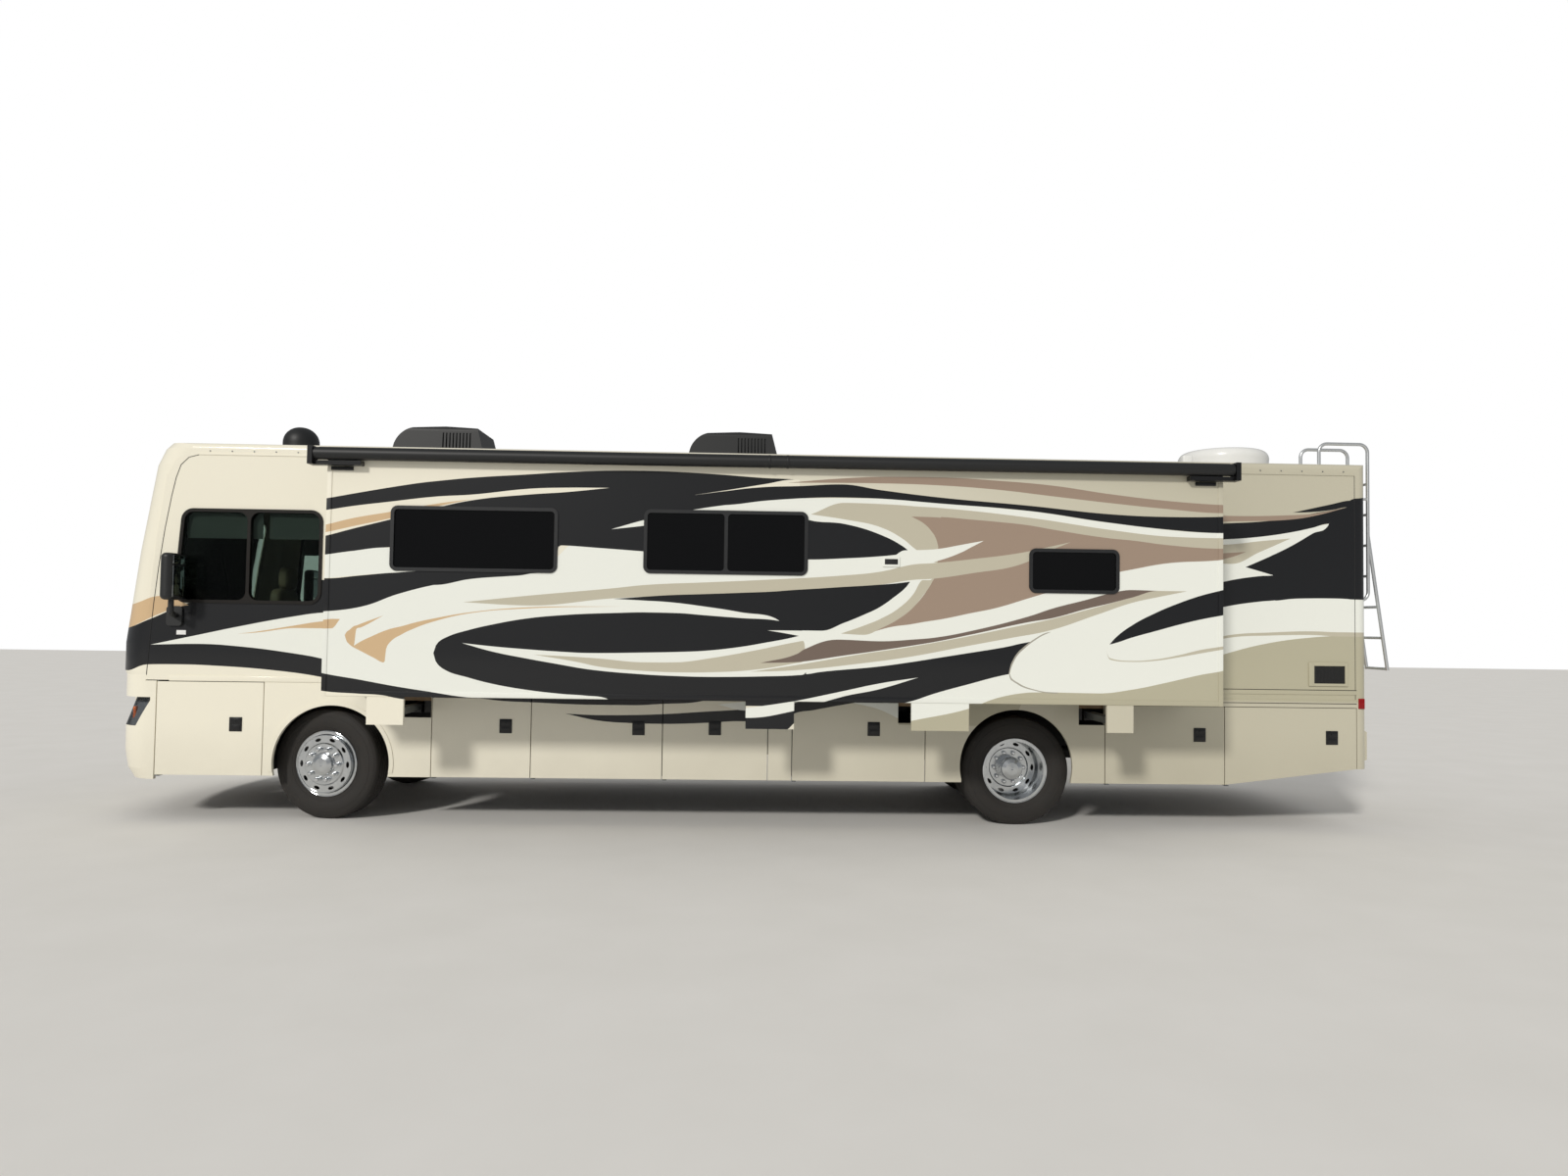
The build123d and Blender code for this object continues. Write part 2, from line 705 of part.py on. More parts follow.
def make_entry_steps():
    """The folded steps from the entry door up to the deck."""
    door_y = half_w - wall_t - 6
    tread = (door_y - step_well_y) / 3
    top = entry_z0 + 2 * step_rise
    side_view = outline(
        (step_well_y, entry_z0 - 20),
        (door_y, entry_z0 - 20),
        (door_y, entry_z0),
        (step_well_y + 2 * tread, entry_z0),
        (step_well_y + 2 * tread, entry_z0 + step_rise),
        (step_well_y + tread, entry_z0 + step_rise),
        (step_well_y + tread, top),
        (step_well_y, top),
    )
    steps = along(side_view, entry_x0 - 4, entry_x1 + 4)
    back = box(entry_x0 - 4, entry_x1 + 4, step_well_y, step_well_y + 10, top, deck_z0)
    return steps + back


def bay_tub(row):
    """A driver's-side luggage bay: floor, end walls and inner wall, open to its door."""
    x0 = row[1] + tub_gap
    x1 = row[2] - tub_gap
    outer = box(x0, x1, -tub_outer_y, -rail_outer_y, bay_floor_z, bay_top_z)
    floor_z = bay_floor_z + tub_t
    return outer - box(x0 + tub_t, x1 - tub_t, -tub_outer_y - 5, -rail_outer_y - tub_t, floor_z, bay_top_z + 5)


def make_bays():
    """Every luggage bay, each a tub hung on the outside of a rail."""
    left = [bay_tub(row) for row in left_doors[:-1]]
    right = [mirrored(bay_tub(row)) for row in right_doors]
    return joined(left + right)


def make_bay_hinges():
    """Two pivots for every door that swings or lifts."""
    pieces = []
    for row in left_doors:
        pieces += hinge_set(row)
    for row in right_doors:
        pieces += [mirrored(piece) for piece in hinge_set(row)]
    x, y = entry_x0 + hinge_inset, half_w - hinge_inset
    pieces.append(rod(hinge_pin_r, (x, y, entry_z1 - hinge_reach), (x, y, entry_z1 + panel_gap)))
    pieces.append(rod(hinge_pin_r, (x, y, entry_z0 - panel_gap), (x, y, entry_z0 + hinge_reach)))
    x, z = engine_hinge()
    side = engine_door_half_w
    for y0, y1 in ((-side, -side + panel_gap + hinge_reach), (side - panel_gap - hinge_reach, side)):
        pieces.append(rod(hinge_pin_r, (x, y0, z), (x, y1, z)))
    return joined(pieces)


# Running gear


def wheel_profile(points):
    """Points as (radius, distance outboard of the wheel's middle plane), turned about the axle."""
    face = make_face(Polyline(*[(r, w) for r, w in points], close=True))
    return revolve(face, Axis.Y)


def tyre_solid():
    half = tyre_w / 2
    bead = bead_d / 2 + seat_gap
    return wheel_profile([
        (bead, -half + 37), (bead, half - 37), (bead + 13, half - 37), (bead + 32, half - 20),
        (bead + 80, half - 2),
        (bead + 120, half), (wheel_r - 45, half - 8), (wheel_r - 12, half - 22), (wheel_r, half - 45),
        (wheel_r, -half + 45), (wheel_r - 12, -half + 22), (wheel_r - 45, -half + 8), (bead + 120, -half),
        (bead + 80, -half + 2), (bead + 32, -half + 20), (bead + 13, -half + 37),
    ])


def rim_solid(disc_w, hub_w0, hub_w1, bore_r, cap):
    """A ten-hand-hole disc wheel. disc_w is where its bolting face stands outboard of the middle."""
    rim = bead_d / 2
    well = rim - 14
    lip = rim_flange_d / 2
    side = tyre_w / 2 - 36
    sign = 1 if disc_w > 0 else -1
    barrel = wheel_profile([(well, -side - 10), (lip, -side - 10), (lip, -side - 0.6), (rim, -side),
                            (rim, side), (lip, side + 0.6), (lip, side + 10), (well, side + 10)])
    root = disc_w * 0.55
    t = 12 * sign
    disc = wheel_profile([(bore_r + 20, disc_w), (186, disc_w), (196, disc_w - t), (258, disc_w - t),
                          (well + 4, root), (well + 4, root - 1.6 * t), (252, disc_w - 2 * t),
                          (190, disc_w - 2 * t), (180, disc_w - t), (bore_r + 20, disc_w - t)])
    hand = Rot(-90, 0, 0) * extrude(Ellipse(15, 29), 200, both=True)
    disc = disc - joined([Rot(0, 36 * i, 0) * Pos(228, 0, 0) * hand for i in range(10)])
    hub = wheel_profile([(bore_r, hub_w0), (105, hub_w0), (105, hub_w1), (bore_r, hub_w1)])
    whole = barrel + disc + hub
    if cap:
        rise = [(104, 0), (96, 34), (60, 46), (0, 50)]
        whole = whole + wheel_profile([(0, hub_w1)] + [(r, hub_w1 + w) for r, w in rise])
    return whole


def stand(shape, x, y, side):
    """Stands a wheel drawn about the Y axis at its place; side is +1 on the kerb side."""
    if side < 0:
        shape = mirror(shape, Plane.XZ)
    return Pos(x, side * y, axle_z) * shape


def steered(shape, side):
    """Turns a front-corner piece about its kingpin to the parked steering angle."""
    pin = Pos(front_axle_x, side * kingpin_y, 0)
    back = Pos(-front_axle_x, -side * kingpin_y, 0)
    return pin * Rot(0, 0, -parked_steer) * back * shape


def make_front_axle():
    """A forged beam axle, with an eye for the kingpin at each end."""
    end = kingpin_y - 130
    beam = box(front_axle_x - 50, front_axle_x + 50, -end, end, axle_z - 55, axle_z + 55)
    for x in (front_axle_x - 60, front_axle_x + 15):
        beam = beam - box(x, x + 45, -end + 60, end - 60, axle_z - 35, axle_z + 35)
    neck = box(front_axle_x - 30, front_axle_x + 30, -kingpin_y, kingpin_y, axle_z - 45, axle_z + 45)
    beam = beam + neck
    for side in (-1, 1):
        y = side * kingpin_y
        eye = rod(45, (front_axle_x, y, axle_z - 55), (front_axle_x, y, axle_z + 55))
        beam = beam + eye - rod(kingpin_r + seat_gap, (front_axle_x, y, 0), (front_axle_x, y, 2 * axle_z))
    return beam


def make_knuckle(side):
    """The kingpin, its yoke, the stub axle and the steering arm, drawn on the kerb side."""
    x, y = front_axle_x, kingpin_y
    top = box(x - 40, x + 40, y - 45, y + 80, axle_z + 55 + seat_gap, axle_z + 85)
    foot = box(x - 40, x + 40, y - 45, y + 80, axle_z - 85, axle_z - 55 - seat_gap)
    web = box(x - 40, x + 40, y + 52, y + 80, axle_z - 85, axle_z + 85)
    pin = rod(kingpin_r, (x, y, axle_z - 85), (x, y, axle_z + 85))
    stub = rod(spindle_r, (x, y + 70, axle_z), (x, y + 190, axle_z))
    arm = box(x + 30, x + 210, y - 60, y - 25, axle_z - 85, axle_z - 60)
    knuckle = top + foot + web + pin + stub + arm
    if side < 0:
        knuckle = mirrored(knuckle)
    return steered(knuckle, side)


def make_rear_axle():
    """The driven axle with its differential, and the shaft from the engine as a second solid."""
    inner_hub_y = inner_wheel_y + 60 - 6
    shaft_y = outer_wheel_y - 30 - 8
    tube = rod(60, (rear_axle_x, -inner_hub_y, axle_z), (rear_axle_x, inner_hub_y, axle_z))
    stub = rod(half_shaft_r, (rear_axle_x, -shaft_y, axle_z), (rear_axle_x, shaft_y, axle_z))
    bowl = Pos(rear_axle_x, 0, axle_z) * Sphere(190)
    nose = rod(90, (rear_axle_x, 0, axle_z), (rear_axle_x + 330, 0, axle_z + 20))
    shaft_z = (engine_z0 + engine_z1) / 2 - 180
    shaft = rod(shaft_r, (rear_axle_x + 332, 0, axle_z + 20), (engine_x0 + 10, 0, shaft_z))
    shaft = shaft - box(engine_x0 - seat_gap, engine_x0 + 50, -200, 200, 0, engine_z1)
    return joined([tube + stub + bowl + nose, shaft])


def make_suspension():
    """Air springs over each axle, and the beams that carry the rear four."""
    bag = Circle(spring_r)
    pieces = []
    rail_y = rail_outer_y - rail_w / 2
    for y in (-rail_y, rail_y):
        pieces.append(upward(Pos(front_axle_x, y) * bag, axle_z + 55, rail_z0))
        pieces.append(box(rear_axle_x - 480, rear_axle_x + 480, y - 45, y + 45, axle_z - 125, axle_z - 60))
        for x in (rear_axle_x - 380, rear_axle_x + 380):
            pieces.append(upward(Pos(x, y) * bag, axle_z - 60, rail_z0))
    return joined(pieces)


def make_engine():
    side = rail_outer_y - rail_w
    return box(engine_x0, engine_x0 + engine_l, -side, side, engine_z0, engine_z1)


def make_fuel_tank():
    """A tank slung between the rails behind the front axle."""
    side = rail_outer_y - 85
    tank = box(780, 1480, -side, side, 470, 900)
    tank = fillet(tank.edges().filter_by(Axis.Y), 60)
    hanger = box(1100, 1150, -rail_outer_y + rail_web, rail_outer_y - rail_web, 900, 930)
    return tank + hanger


# Roof and outside fittings


def shroud(x0):
    """An air conditioner's moulded cover: a round front, a raked back and louvred rear sides."""
    base = roof_crown_z
    front = ThreePointArc((x0, base + 60), (x0 + 60, base + 205), (x0 + 190, base + 287))
    rest = Polyline((x0 + 190, base + 287), (x0 + 520, base + 305), (x0 + 850, base + 285),
                    (x0 + 905, base + 70), (x0 + 905, base), (x0, base), (x0, base + 60))
    section = outline((-350, base), (350, base), (325, base + 310), (-325, base + 310))
    section = fillet(section.vertices().sort_by(Axis.Y)[-2:], 60)
    cover = across(make_face(front + rest), -400, 400) & along(section, x0 - 10, x0 + 920)
    slots = joined([box(x, x + 14, -400, -318, base + 60, base + 235) for x in range(x0 + 500, x0 + 800, 34)])
    return cover - both_sides(slots)


def make_air_conditioners():
    return shroud(228) + shroud(3233)


def turned(edges):
    """A half outline drawn as (radius, height), turned about a vertical axis."""
    return revolve(Plane.XZ * make_face(edges), Axis.Z)


def make_domes():
    """The round aerial over the cab, the wide satellite dome over the tail and a vent between them."""
    round_top = Polyline((8, 316), (0, 316), (0, 0), (177, 0), (177, 150))
    round_top = round_top + ThreePointArc((177, 150), (128, 268), (8, 316))
    wide_top = Polyline((8, 261), (0, 261), (0, 0), (440, 0), (453, 140))
    wide_top = wide_top + ThreePointArc((453, 140), (430, 205), (370, 235))
    wide_top = wide_top + ThreePointArc((370, 235), (190, 255), (8, 261))
    aerial = Pos(-834, 0, roof_crown_z) * turned(round_top)
    dish = Pos(rear_axle_x + 2528, 0, roof_crown_z) * turned(wide_top)
    vent = box(rear_axle_x - 100, rear_axle_x + 260, -180, 180, roof_crown_z, roof_crown_z + 70)
    return joined([aerial, dish, vent])


def make_ladder():
    """Two rails hooked over the roof's rear edge, with a fold-down foot that leans out, and round rungs."""
    tail = tail_x + tail_depth
    rail_x = tail + ladder_out
    hoop_x = rail_x - 478
    top_z = roof_crown_z + 153
    rung_y = (-half_w + 195, -half_w + 535)
    pieces = []
    for y in rung_y:
        roof_z = roof_z_at(y) + 2
        path = FilletPolyline((hoop_x, y, roof_z), (hoop_x, y, top_z), (rail_x, y, top_z),
                              (rail_x, y, ladder_fork_z), (tail, y, ladder_fork_z), radius=80)
        start = Plane(origin=(hoop_x, y, roof_z), z_dir=(0, 0, 1))
        pieces.append(sweep(start * Circle(ladder_r), path=path))
        pieces.append(rod(ladder_r, (rail_x, y, ladder_hip_z), (rail_x + ladder_lean, y, ladder_foot_z)))
        pieces.append(rod(12, (tail, y, 3140), (rail_x, y, 3140)))
    for i in range(7):
        z = ladder_foot_z + 12 + 298 * i
        x = rail_x
        if z < ladder_fork_z:
            x = x + ladder_lean * (ladder_hip_z - z) / (ladder_hip_z - ladder_foot_z)
        pieces.append(rod(13, (x, rung_y[0], z), (x, rung_y[1], z)))
    return joined(pieces)


def make_mirrors():
    """A slim rounded housing each side, on an arm bent out from the wall under the cab window."""
    x, y = -1305, -half_w - 190
    housing = upward(Pos(x, y) * RectangleRounded(115, 240, 55), 1993, 2413)
    ends = housing.faces().sort_by(Axis.Z)
    housing = fillet(ends[0].edges() + ends[-1].edges(), 40)
    elbow = (x, y, 1880)
    arm = rod(24, (x - 55, -half_w, 1850), elbow) + rod(24, elbow, (x, y, 2010)) + Pos(*elbow) * Sphere(24)
    base = box(x - 130, x + 10, -half_w - 24, -half_w, 1760, 1940)
    base = fillet(base.edges().filter_by(Axis.Y), 30)
    return both_sides(joined([housing, arm, base]) - box(-2000, -1000, -half_w, half_w, 1000, 3000))


def make_tail_lamps():
    deep = tail_x + tail_depth
    return both_sides(along(tail_lamp_face(1), deep - 40, deep + 8))


def make_awning():
    """The patio awning rolled up along the kerb side's top, with its folded arms."""
    case_x0 = entry_x1 + 220
    case_x1 = rear_axle_x + 1450
    case = box(case_x0, case_x1, half_w, half_w + 115, 3130, 3290)
    case = fillet(case.edges().filter_by(Axis.X).sort_by(Axis.Y)[-2:], 45)
    arms = [box(x, x + 60, half_w, half_w + 45, 1500, 3130) for x in (case_x0 + 40, case_x1 - 100)]
    return joined([case] + arms)


# Cab and living space


def make_dashboard():
    """The dash with its hood, and the steering wheel on its column."""
    side_view = outline((-1930, deck_top_z), (-1700, deck_top_z), (-1640, 1500), (-1500, 1620), (-1520, 1690),
                        (-1960, 1660))
    side = half_w - windscreen_side
    return across(side_view, -side, side) & nose_solid(cap_t + 8)


def make_steering_wheel():
    hub = Vector(-1450, -620, 1800)
    tilt = Plane(origin=hub, z_dir=(0.75, 0, 1))
    rim = tilt * Torus(225, 15)
    spokes = tilt * Box(440, 30, 12) + tilt * Box(30, 440, 12)
    column = rod(35, tuple(hub), (-1700, -620, 1470))
    return rim + spokes + column


def make_cab_seats():
    """Two high-backed cab chairs on pedestals."""
    seat = box(-1190, -700, -900, -380, 1480, 1620)
    seat = seat + across(outline((-780, 1600), (-640, 1600), (-540, 2330), (-640, 2350)), -900, -380)
    seat = seat + box(-1100, -820, -760, -520, deck_top_z, 1480)
    return both_sides(seat)


def make_furniture():
    """Fixed kerb-side cabinets and the bedroom bulkhead."""
    galley = box(2000, 4300, half_w - wall_t - 600, half_w - wall_t, deck_top_z, 2080)
    side = half_w - 195
    wardrobe = box(tail_x - 520, tail_x - 40, -side, side, deck_top_z, 3000)
    bulkhead = box(rear_axle_x - 500, rear_axle_x - 460, -380, half_w - wall_t, deck_top_z, 3000)
    return joined([galley, wardrobe, bulkhead])


# Slide-out room


def make_slide_wall():
    """The room's outer wall, whose edge laps over the coach's opening."""
    wall = box(slide_x0, slide_x1, slide_face_y, slide_face_y + slide_wall_t, slide_z0, slide_z1)
    for window in slide_windows:
        wall = wall - window_cut(window, slide_face_y - 10, slide_face_y + slide_wall_t + 10)
    return wall


def make_slide_box():
    """The room's floor, ceiling and end walls."""
    x0, x1 = slide_open_x0 + slide_gap, slide_open_x1 - slide_gap
    z0, z1 = slide_z0, slide_open_z1 - slide_gap
    y0, y1 = slide_face_y + slide_wall_t, -half_w + slide_overlap
    t = slide_shell_t
    return box(x0, x1, y0, y1, z0, z1) - box(x0 + t, x1 - t, y0 - 5, y1 + 5, z0 + t, z1 - t)


def make_slide_arms():
    """Steel arms that run in the chassis guides, each behind a painted cover under the outer wall."""
    pieces = []
    for cover in arm_covers:
        x = arm_x(cover)
        pieces.append(box(x - arm_w / 2, x + arm_w / 2, slide_face_y + cover_t, -arm_inner_y, arm_z0, arm_z1))
    return joined(pieces)


def make_arm_covers():
    y0, y1 = slide_face_y, slide_face_y + cover_t
    return joined([box(x0, x1, y0, y1, cover_z0, slide_z0) for x0, x1 in arm_covers])


def make_topper_roller():
    y = slide_face_y - roller_out
    return rod(roller_r, (roller_x0, y, roller_z), (roller_x1, y, roller_z))


def make_topper_brackets():
    """The end plates that hold the roller, each with a long foot on the wall."""
    top = bracket_z0 + 157
    pieces = []
    for x0, foot_x0, foot_x1 in ((roller_x0 - 3 - bracket_w, roller_x0 - 3 - bracket_w, 590),
                                 (roller_x1 + 3, slide_x1 - 319, roller_x1 + 3 + bracket_w)):
        plate = box(x0, x0 + bracket_w, slide_face_y - roller_out - 60, slide_face_y, bracket_z0, top)
        foot_y = slide_face_y - roller_out - 20
        foot = box(foot_x0, foot_x1, foot_y, slide_face_y, bracket_z0, bracket_z0 + 37)
        pieces.append(plate + foot)
    return joined(pieces)


def make_topper_fabric():
    """The cloth stretched from the roof's edge to the roller."""
    y = slide_face_y - roller_out
    top = roller_z + roller_r + 0.5
    side_view = outline((-half_w, 3368), (-half_w, 3372), (y, top + 4), (y, top))
    return along(side_view, slide_x0 - 51, slide_x1 + 35)


def make_slide_furniture():
    """A sofa under the room's windows and a tall cabinet at its rear end."""
    y0 = slide_face_y + slide_wall_t
    z0 = slide_z0 + slide_shell_t
    sofa = box(900, 3000, y0, y0 + 800, z0, z0 + 430) + box(900, 3000, y0, y0 + 200, z0 + 430, z0 + 850)
    cabinet = box(4500, 5900, y0, y0 + 620, z0, slide_open_z1 - slide_gap - slide_shell_t)
    return joined([sofa, cabinet])


skin = nose_solid(0)
lining = nose_solid(cap_t, cap_foot_z - 2 * cap_t)
nodes = {
    "chassis_frame": make_chassis_frame(),
    "floor_deck": make_deck(lining),
    "front_cap": make_front_cap(skin, lining),
    "rear_cap": make_rear_cap(),
    "left_wall": make_left_wall(),
    "right_wall": make_right_wall(),
    "roof_panel": make_roof(),
    "side_skirts": make_skirts(),
    "grille": make_grille(skin, lining),
    "lamps": joined([make_headlamps(), make_tail_lamps()]),
    "luggage_bays": make_bays(),
    "door_hinges": make_bay_hinges(),
    "front_axle": make_front_axle(),
    "rear_axle": make_rear_axle(),
    "air_springs": make_suspension(),
    "engine_block": make_engine(),
    "fuel_tank": make_fuel_tank(),
    "roof_air_conditioners": make_air_conditioners(),
    "roof_domes": make_domes(),
    "ladder": make_ladder(),
    "mirrors": make_mirrors(),
    "patio_awning": make_awning(),
    "dashboard": make_dashboard() + make_steering_wheel(),
    "cab_seats": make_cab_seats(),
    "fixed_furniture": make_furniture(),
    "topper_fabric": make_topper_fabric(),
    "entry_door": make_entry_door(),
    "engine_door": make_engine_door(),
    "slide_wall": make_slide_wall() + make_topper_brackets(),
    "slide_box": make_slide_box(),
    "slide_arms": make_slide_arms(),
    "arm_covers": make_arm_covers(),
    "topper_roller": make_topper_roller(),
    "slide_furniture": make_slide_furniture(),
}
nodes["window_frames"] = joined([window_frame(w, -half_w, 1, wall_t) for w in left_windows]
                                + [window_frame(w, half_w, -1, wall_t) for w in right_windows])
nodes["window_glass"] = joined([make_windscreen()]
                               + [window_panes(w, -half_w, 1) for w in left_windows]
                               + [window_panes(w, half_w, -1) for w in right_windows])
nodes["slide_window_frames"] = joined([window_frame(w, slide_face_y, 1, slide_wall_t) for w in slide_windows])
nodes["slide_window_glass"] = joined([window_panes(w, slide_face_y, 1) for w in slide_windows])
for row in left_doors:
    nodes[row[0]] = bay_door(row)
for row in right_doors:
    nodes[row[0]] = mirrored(bay_door(row))

front_rim = rim_solid(twin_offset, 16, twin_offset, spindle_r + seat_gap, True)
rear_outer_rim = rim_solid(-twin_offset, -twin_offset, -30, half_shaft_r + seat_gap, True)
rear_inner_rim = rim_solid(twin_offset, 60, twin_offset, half_shaft_r + seat_gap, False)
tyre = tyre_solid()
for side, name in ((-1, "left"), (1, "right")):
    nodes[name + "_knuckle"] = make_knuckle(side)
    nodes["front_" + name + "_tyre"] = steered(stand(tyre, front_axle_x, outer_wheel_y, side), side)
    nodes["front_" + name + "_rim"] = steered(stand(front_rim, front_axle_x, outer_wheel_y, side), side)
    nodes["rear_" + name + "_tyres"] = (stand(tyre, rear_axle_x, outer_wheel_y, side)
                                        + stand(tyre, rear_axle_x, inner_wheel_y, side))
    nodes["rear_" + name + "_rims"] = (stand(rear_outer_rim, rear_axle_x, outer_wheel_y, side)
                                       + stand(rear_inner_rim, rear_axle_x, inner_wheel_y, side))

# The part's own zero lies under the middle of its bounding box, on the ground.
boxes = [shape.bounding_box() for shape in nodes.values()]
zero_x = (min(b.min.X for b in boxes) + max(b.max.X for b in boxes)) / 2
zero_y = (min(b.min.Y for b in boxes) + max(b.max.Y for b in boxes)) / 2
zero_z = min(b.min.Z for b in boxes)
os.makedirs("parts", exist_ok=True)
for name, shape in nodes.items():
    export_step(Pos(-zero_x, -zero_y, -zero_z) * shape, "parts/" + name + ".step")
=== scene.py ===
import math
import bpy
from mathutils import Matrix, Vector


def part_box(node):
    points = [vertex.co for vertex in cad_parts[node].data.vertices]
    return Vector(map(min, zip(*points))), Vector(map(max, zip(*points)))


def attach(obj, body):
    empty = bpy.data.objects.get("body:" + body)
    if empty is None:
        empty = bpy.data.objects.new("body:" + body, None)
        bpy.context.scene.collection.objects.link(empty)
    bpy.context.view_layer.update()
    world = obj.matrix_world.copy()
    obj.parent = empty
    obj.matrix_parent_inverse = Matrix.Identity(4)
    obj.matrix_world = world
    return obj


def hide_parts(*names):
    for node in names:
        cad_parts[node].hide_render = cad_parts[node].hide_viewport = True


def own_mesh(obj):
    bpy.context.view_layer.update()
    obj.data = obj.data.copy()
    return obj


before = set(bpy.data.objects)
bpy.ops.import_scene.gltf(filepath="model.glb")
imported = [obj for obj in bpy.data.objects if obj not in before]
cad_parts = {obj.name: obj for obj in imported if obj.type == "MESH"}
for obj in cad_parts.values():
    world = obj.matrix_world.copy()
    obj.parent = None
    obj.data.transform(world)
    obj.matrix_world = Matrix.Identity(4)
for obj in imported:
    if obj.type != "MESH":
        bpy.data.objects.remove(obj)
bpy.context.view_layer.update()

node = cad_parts

# Camera, floor and light.
# The coach was photographed in low sun, from a little behind the middle of its driver's side. The
# camera is fitted to that photograph; the floor is a plain pale screed under an even studio sky.

# Places are coach coordinates in metres, as the source has them: x back from a zero by the front
# axle, y from the centreline to the kerb side, z up from the ground. One corner of the entry door
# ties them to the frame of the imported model.
door_corner = Vector((1.010, 1.245, 0.560))
zero = door_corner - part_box("entry_door")[0]


def place(x, y, z):
    """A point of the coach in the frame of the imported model."""
    return Vector((x, y, z)) - zero


eye = (3.9174, -11.0112, 1.8467)
yaw, pitch, roll = 0.0291, 0.0352, -0.0141
focal_px, photo_px, sensor_mm = 1065.67, 1600, 36.0
level = Vector((math.sin(yaw), math.cos(yaw), 0))
side = Vector((math.cos(yaw), -math.sin(yaw), 0))
ahead = level * math.cos(pitch) + Vector((0, 0, 1)) * math.sin(pitch)
above = Vector((0, 0, 1)) * math.cos(pitch) - level * math.sin(pitch)
right = side * math.cos(roll) - above * math.sin(roll)
up = above * math.cos(roll) + side * math.sin(roll)
camera_data = bpy.data.cameras.new("camera")
camera = bpy.data.objects.new("camera", camera_data)
bpy.context.scene.collection.objects.link(camera)
turned = Matrix((right, up, -ahead)).transposed().to_4x4()
camera.matrix_world = Matrix.Translation(place(*eye)) @ turned
camera_data.sensor_width = sensor_mm
camera_data.lens = sensor_mm * focal_px / photo_px
camera_data.clip_end = 300.0
bpy.context.scene.camera = camera
bpy.context.scene.view_settings.view_transform = "Standard"


def linear(code):
    """A six-digit sRGB colour as linear light, with full alpha."""
    parts = [int(code[i:i + 2], 16) / 255 for i in (0, 2, 4)]
    return tuple(c / 12.92 if c <= 0.04045 else ((c + 0.055) / 1.055) ** 2.4 for c in parts) + (1.0,)


def add(tree, kind, inputs=None, **settings):
    """Adds a node; its inputs are values, hex colours, sockets, or nodes that feed their first output."""
    made = tree.nodes.new("ShaderNode" + kind)
    for name, value in settings.items():
        setattr(made, name, value)
    for key, value in (inputs or {}).items():
        if isinstance(value, bpy.types.Node):
            value = value.outputs[0]
        if isinstance(value, bpy.types.NodeSocket):
            tree.links.new(value, made.inputs[key])
        else:
            made.inputs[key].default_value = linear(value) if isinstance(value, str) else value
    return made


def blank(name):
    """A new material, its node tree, and the Object coordinates that its patterns lie in."""
    made = bpy.data.materials.new(name)
    made.use_nodes = True
    made.node_tree.nodes.clear()
    return made, made.node_tree, add(made.node_tree, "TexCoord").outputs["Object"]


world = bpy.data.worlds.new("studio_sky")
bpy.context.scene.world = world
world.use_nodes = True
tree = world.node_tree
tree.nodes.clear()
# The camera sees pure white; what lights the coach is softer, and a glossy ray sees it dimmer still.
path = add(tree, "LightPath")
direct = {0: path.outputs["Is Camera Ray"], 1: path.outputs["Is Transmission Ray"]}
seen = add(tree, "Math", direct, operation="MAXIMUM")
soft = add(tree, "Background", {"Color": "FFFFFF", "Strength": 0.5})
shown = add(tree, "Background", {"Color": "FFFFFF", "Strength": 1.0})
glossy = add(tree, "Background", {"Color": "E6E9EC", "Strength": 0.38})
around = add(tree, "MixShader", {0: path.outputs["Is Glossy Ray"], 1: soft, 2: glossy})
sky = add(tree, "MixShader", {0: seen, 1: around, 2: shown})
add(tree, "OutputWorld", {"Surface": sky})

sun_heading = Vector((0.42, 0.80, -0.52))
sun_data = bpy.data.lights.new("key_light", "SUN")
sun_data.energy = 1.75
sun_data.angle = math.radians(7)
sun_data.color = (1.0, 0.972, 0.925)
sun = bpy.data.objects.new("key_light", sun_data)
bpy.context.scene.collection.objects.link(sun)
sun.rotation_euler = sun_heading.to_track_quat("-Z", "Y").to_euler()


def primitive(shape, scale=(1, 1, 1), **settings):
    """A primitive added with nothing else selected, its place and scale carried into its mesh."""
    bpy.ops.object.select_all(action="DESELECT")
    shape(**settings)
    made = bpy.context.object
    made.scale = scale
    bpy.ops.object.transform_apply(location=True, rotation=True, scale=True)
    return made


floor = primitive(bpy.ops.mesh.primitive_plane_add, size=90)
floor.name = "studio_floor"
# Pale sealed screed, matt, so it holds a soft shadow and no mirror image.
screed, tree, coords = blank("pale_screed")
grain = add(tree, "TexNoise", {"Vector": coords, "Scale": 1.5, "Detail": 3.0})
tone = add(tree, "Mix", {0: grain, 6: "E4E2DD", 7: "ECEAE6"}, data_type="RGBA")
shell = add(tree, "BsdfPrincipled", {"Base Color": tone.outputs[2], "Roughness": 0.9})
add(tree, "OutputMaterial", {"Surface": shell})
floor.data.materials.append(screed)


